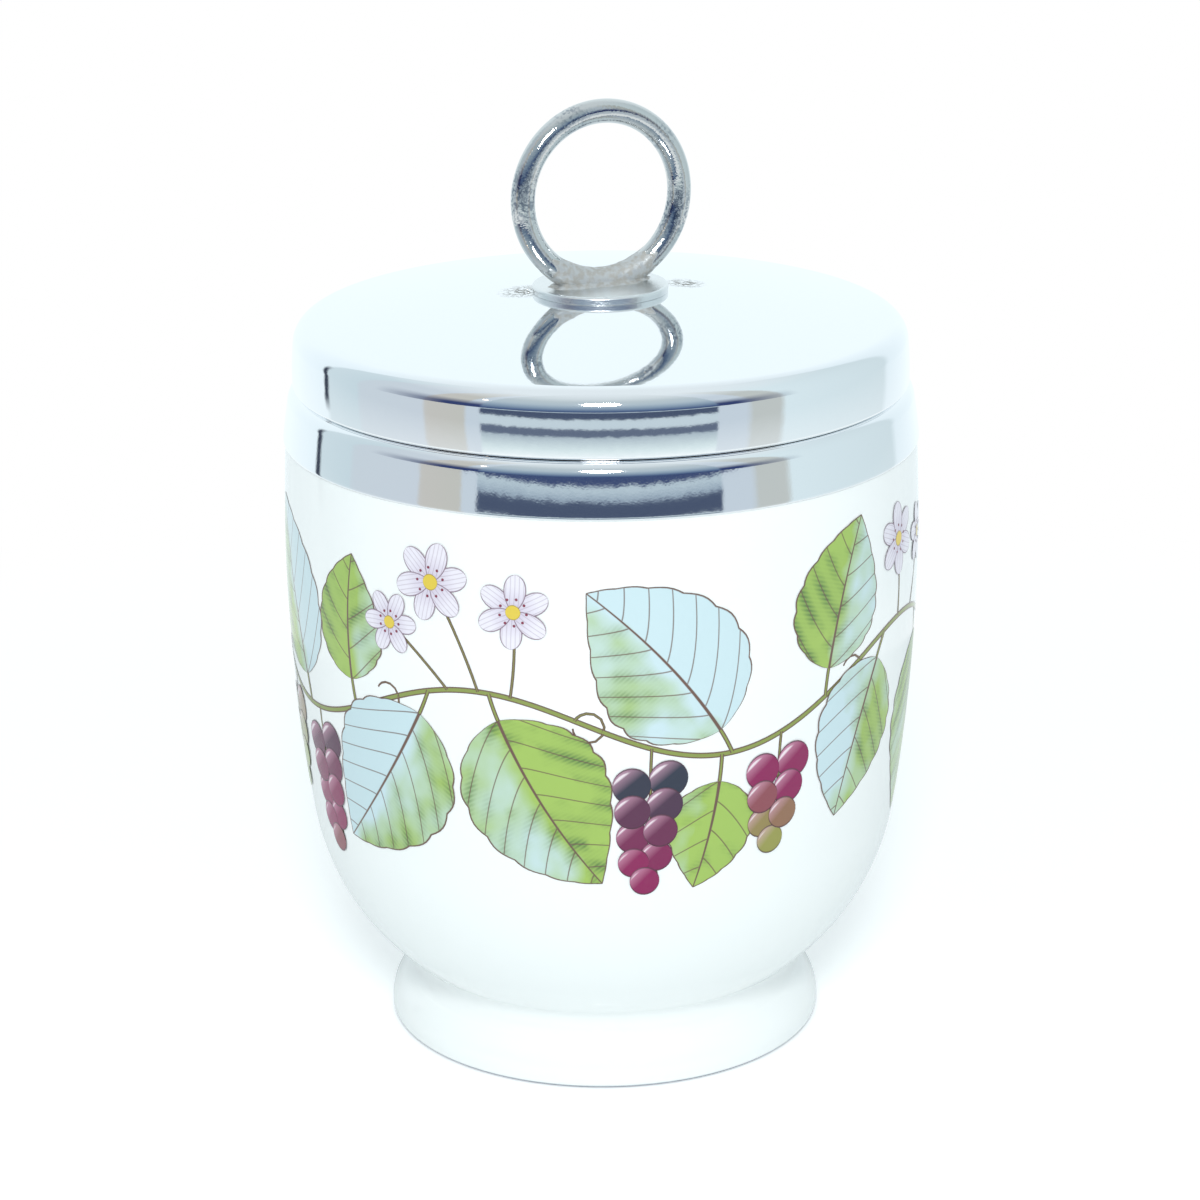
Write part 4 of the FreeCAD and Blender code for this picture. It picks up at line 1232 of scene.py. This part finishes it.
class CODDLER_OT_stage(bpy.types.Operator):
    """Set up the floor, the room that the metal mirrors, the lamps and the camera"""

    bl_idname = "coddler.stage"
    bl_label = "Stage"

    def execute(self, context):
        stage = context.scene.coddler_stage
        context.scene.view_settings.view_transform = "Standard"
        self.floor(stage)
        self.room(context, stage)
        self.lamp("key_lamp", stage.azimuth, 36, width=190, watts=3.3, tint="#FFFFFF")
        aside = stage.azimuth - math.radians(46)
        self.lamp("far_lamp", aside, 35, width=30, watts=0.015, tint="#FFDFB8")
        self.camera(context, stage)
        return {"FINISHED"}

    def floor(self, stage):
        """A flat disc around the axis, in rings that widen outwards."""
        columns = 96
        radius = np.array([2400, 960, 480, 240, 120, 60, 0.0])
        section = np.stack([radius, np.zeros(len(radius))], axis=1)
        flat = around(section, section * 0, columns)["points"][:, :-1]
        index = np.arange(len(radius) * columns).reshape(len(radius), columns)
        index = np.hstack([index, index[:, :1]])
        mesh = bpy.data.meshes.new("floor")
        mesh.from_pydata((flat.reshape(-1, 3) * MM).tolist(), [], cells(index).tolist())
        floor = bpy.data.objects.new("floor", mesh)
        bpy.context.scene.collection.objects.link(floor)
        material, tree, shader = finish(
            "matte_paper_floor", Base_Color=stage.floor, Roughness=0.9, Specular_IOR_Level=0.1
        )
        path = add(tree, "ShaderNodeLightPath").outputs
        place = add(tree, COORDINATES).outputs["Object"]
        away = add(tree, VECTOR_MATH, {0: place}, operation="LENGTH").outputs["Value"]
        # For the camera alone the floor is brighter, so that it is white outside the shadow.
        glow = add(tree, MATH, {0: path["Is Camera Ray"], 1: 0.22}, operation="MULTIPLY")
        glow = add(tree, "ShaderNodeEmission", {0: WHITE, 1: glow})
        bright = add(tree, "ShaderNodeAddShader", {0: shader, 1: glow})
        # It turns to plain white from 0.06 m out, so that it has no horizon.
        fade = {"Value": away, 1: 0.06, 2: 0.17}
        far = add(tree, RANGE, fade, interpolation_type="SMOOTHSTEP")
        seen = add(tree, MATH, {0: far, 1: path["Is Camera Ray"]}, operation="MULTIPLY")
        white = add(tree, "ShaderNodeEmission", {0: WHITE, 1: 1.0})
        lit = add(tree, MIX_SHADER, {0: seen, 1: bright, 2: white})
        # The metal mirrors the room from 0.12 m out, in place of an endless floor.
        beyond = add(tree, MATH, {0: away, 1: 0.12}, operation="GREATER_THAN")
        gone = add(tree, MATH, {0: beyond, 1: path["Is Glossy Ray"]}, operation="MULTIPLY")
        clear = add(tree, "ShaderNodeBsdfTransparent")
        both = add(tree, MIX_SHADER, {0: gone, 1: lit, 2: clear})
        tree.links.new(both.outputs[0], tree.nodes["Material Output"].inputs[0])
        mesh.materials.append(material)

    def room(self, context, stage):
        """White for the camera, an even pale light, and for mirrors a plain room: strips of wall
        by direction, and in front of the object bands by height."""
        world = context.scene.world or bpy.data.worlds.new("room")
        context.scene.world = world
        world.use_nodes = True
        tree = world.node_tree
        tree.nodes.clear()
        way = add(tree, COORDINATES).outputs["Generated"]
        turn = {"Vector": way, "Angle": -stage.azimuth}
        turned = add(tree, "ShaderNodeVectorRotate", turn, rotation_type="Z_AXIS")
        axes = add(tree, "ShaderNodeSeparateXYZ", {0: turned}).outputs
        # The walls' edges waver by about a quarter of a degree.
        uneven = add(tree, NOISE, {"Vector": way, "Scale": 22.0, "Detail": 3.0})
        uneven = add(tree, RANGE, {"Value": uneven, 3: -0.011, 4: 0.011})
        back = add(tree, MATH, {0: axes["Y"], 1: -1.0}, operation="MULTIPLY")
        side = add(tree, MATH, {0: axes["X"], 1: back}, operation="ARCTAN2")
        side = add(tree, MATH, {0: side, 1: uneven}, operation="ADD")
        side = add(tree, MATH, {0: side}, operation="DEGREES")
        rise = add(tree, MATH, {0: axes["Z"]}, operation="ARCSINE")
        rise = add(tree, MATH, {0: rise, 1: uneven}, operation="ADD")
        rise = add(tree, MATH, {0: rise}, operation="DEGREES")
        ramps = []
        for angle, half, stops in ((side, 180, STRIPS), (rise, 90, BANDS)):
            share = add(tree, RANGE, {"Value": angle, 1: -half, 2: half})
            stops = [(0.5 + degree / (2 * half), code) for degree, code in stops]
            ramps.append(add(tree, "ShaderNodeValToRGB", {0: share}, stops))
        wall, bands = ramps
        low = add(tree, RANGE, {"Value": rise, 1: -8, 2: -18, 4: 0.35})
        # A dark post stands between the first two strips, and not down to the ground.
        post = ((side, -122.3, -120.8), (side, -117.7, -119.2), (rise, -15, -12), (rise, 16, 6))
        # The dark line over the front bands runs on to both sides and fades.
        line = ((rise, 1.6, 2.2), (rise, 28, 12), (side, -90, -58), (side, 76, 50))
        front = ((side, -44.5, -43.5), (side, 43, 42))
        pale = linear("#F4FAFC")
        for share, tint in (
            (low, pale),
            (within(tree, *post), linear("#3A4150")),
            (within(tree, *line), linear("#33406A")),
            (within(tree, (rise, 42, 72)), linear("#DDE6EA")),
            (within(tree, *front), bands),
            (within(tree, (rise, -18, -19)), pale),
        ):
            wall = add(tree, MIX, {0: share, 6: wall, 7: tint})
        path = add(tree, "ShaderNodeLightPath").outputs
        mirrored = add(tree, BACKGROUND, {0: wall, 1: 1.12})
        even = add(tree, BACKGROUND, {0: linear("#F0F9FD"), 1: 0.72})
        white = add(tree, BACKGROUND, {0: WHITE, 1: 1.0})
        glossy = add(tree, MIX_SHADER, {0: path["Is Glossy Ray"], 1: even, 2: mirrored})
        all_rays = add(tree, MIX_SHADER, {0: path["Is Camera Ray"], 1: glossy, 2: white})
        add(tree, "ShaderNodeOutputWorld", {0: all_rays})

    def lamp(self, name, azimuth, elevation, width, watts, tint):
        """A round lamp 0.9 m from the object's middle, and turned to it."""
        distance, middle = 900, 40
        light = bpy.data.lights.new(name, "AREA")
        light.shape, light.size, light.energy = "DISK", width * MM, watts
        light.color = linear(tint)[:3]
        lamp = bpy.data.objects.new(name, light)
        bpy.context.scene.collection.objects.link(lamp)
        way = sky_way(azimuth, math.radians(elevation))
        lamp.location = way * distance * MM + Vector((0, 0, middle * MM))
        lamp.rotation_euler = way.to_track_quat("Z", "Y").to_euler()

    def camera(self, context, stage):
        """A camera at its distance and height, turned about Z, tilted down and rolled."""
        data = bpy.data.cameras.new("camera")
        data.lens, data.sensor_width = stage.lens, 36.0
        data.clip_start, data.clip_end = 0.01, 20.0
        camera = bpy.data.objects.new("camera", data)
        context.scene.collection.objects.link(camera)
        level = sky_way(stage.azimuth, 0.0) * stage.distance
        camera.location = (level + Vector((0, 0, stage.height))) * MM
        aim = stage.azimuth + stage.yaw
        tilt = Euler((math.pi / 2 - stage.pitch, 0, aim), "XYZ").to_matrix()
        roll = Euler((0, 0, stage.roll), "XYZ").to_matrix()
        camera.rotation_euler = (tilt @ roll).to_euler()
        context.scene.camera = camera


class CODDLER_PT_panel(bpy.types.Panel):
    """The pieces of the egg coddler, each with the operator that builds it"""

    bl_label = "Egg coddler"
    bl_idname = "CODDLER_PT_panel"
    bl_space_type = "VIEW_3D"
    bl_region_type = "UI"
    bl_category = "Coddler"

    def draw(self, context):
        for operator in OPERATORS:
            self.layout.operator(operator.bl_idname, text=operator.bl_label)
        for name, group in GROUPS.items():
            box = self.layout.box()
            for size in group.__annotations__:
                box.prop(getattr(context.scene, name), size)


GROUPS = {
    "coddler_cup": CupSizes,
    "coddler_collar": CollarSizes,
    "coddler_lid": LidSizes,
    "coddler_thread": ThreadSizes,
    "coddler_ring": RingSizes,
    "coddler_print": PrintSizes,
    "coddler_stage": StageSizes,
}
OPERATORS = (
    CODDLER_OT_cup,
    CODDLER_OT_collar,
    CODDLER_OT_lid,
    CODDLER_OT_seal,
    CODDLER_OT_ring,
    CODDLER_OT_vine,
    CODDLER_OT_stage,
)


def register():
    for name, group in GROUPS.items():
        bpy.utils.register_class(group)
        setattr(bpy.types.Scene, name, PointerProperty(type=group))
    for item in (*OPERATORS, CODDLER_PT_panel):
        bpy.utils.register_class(item)


def unregister():
    for item in reversed((*OPERATORS, CODDLER_PT_panel)):
        bpy.utils.unregister_class(item)
    for name, group in reversed(GROUPS.items()):
        delattr(bpy.types.Scene, name)
        bpy.utils.unregister_class(group)


def main():
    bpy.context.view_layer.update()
    register()
    bpy.ops.coddler.cup()
    bpy.ops.coddler.collar()
    bpy.ops.coddler.lid()
    bpy.ops.coddler.seal()
    bpy.ops.coddler.ring()
    bpy.ops.coddler.vine()
    bpy.ops.coddler.stage()


if __name__ == "__main__":
    main()
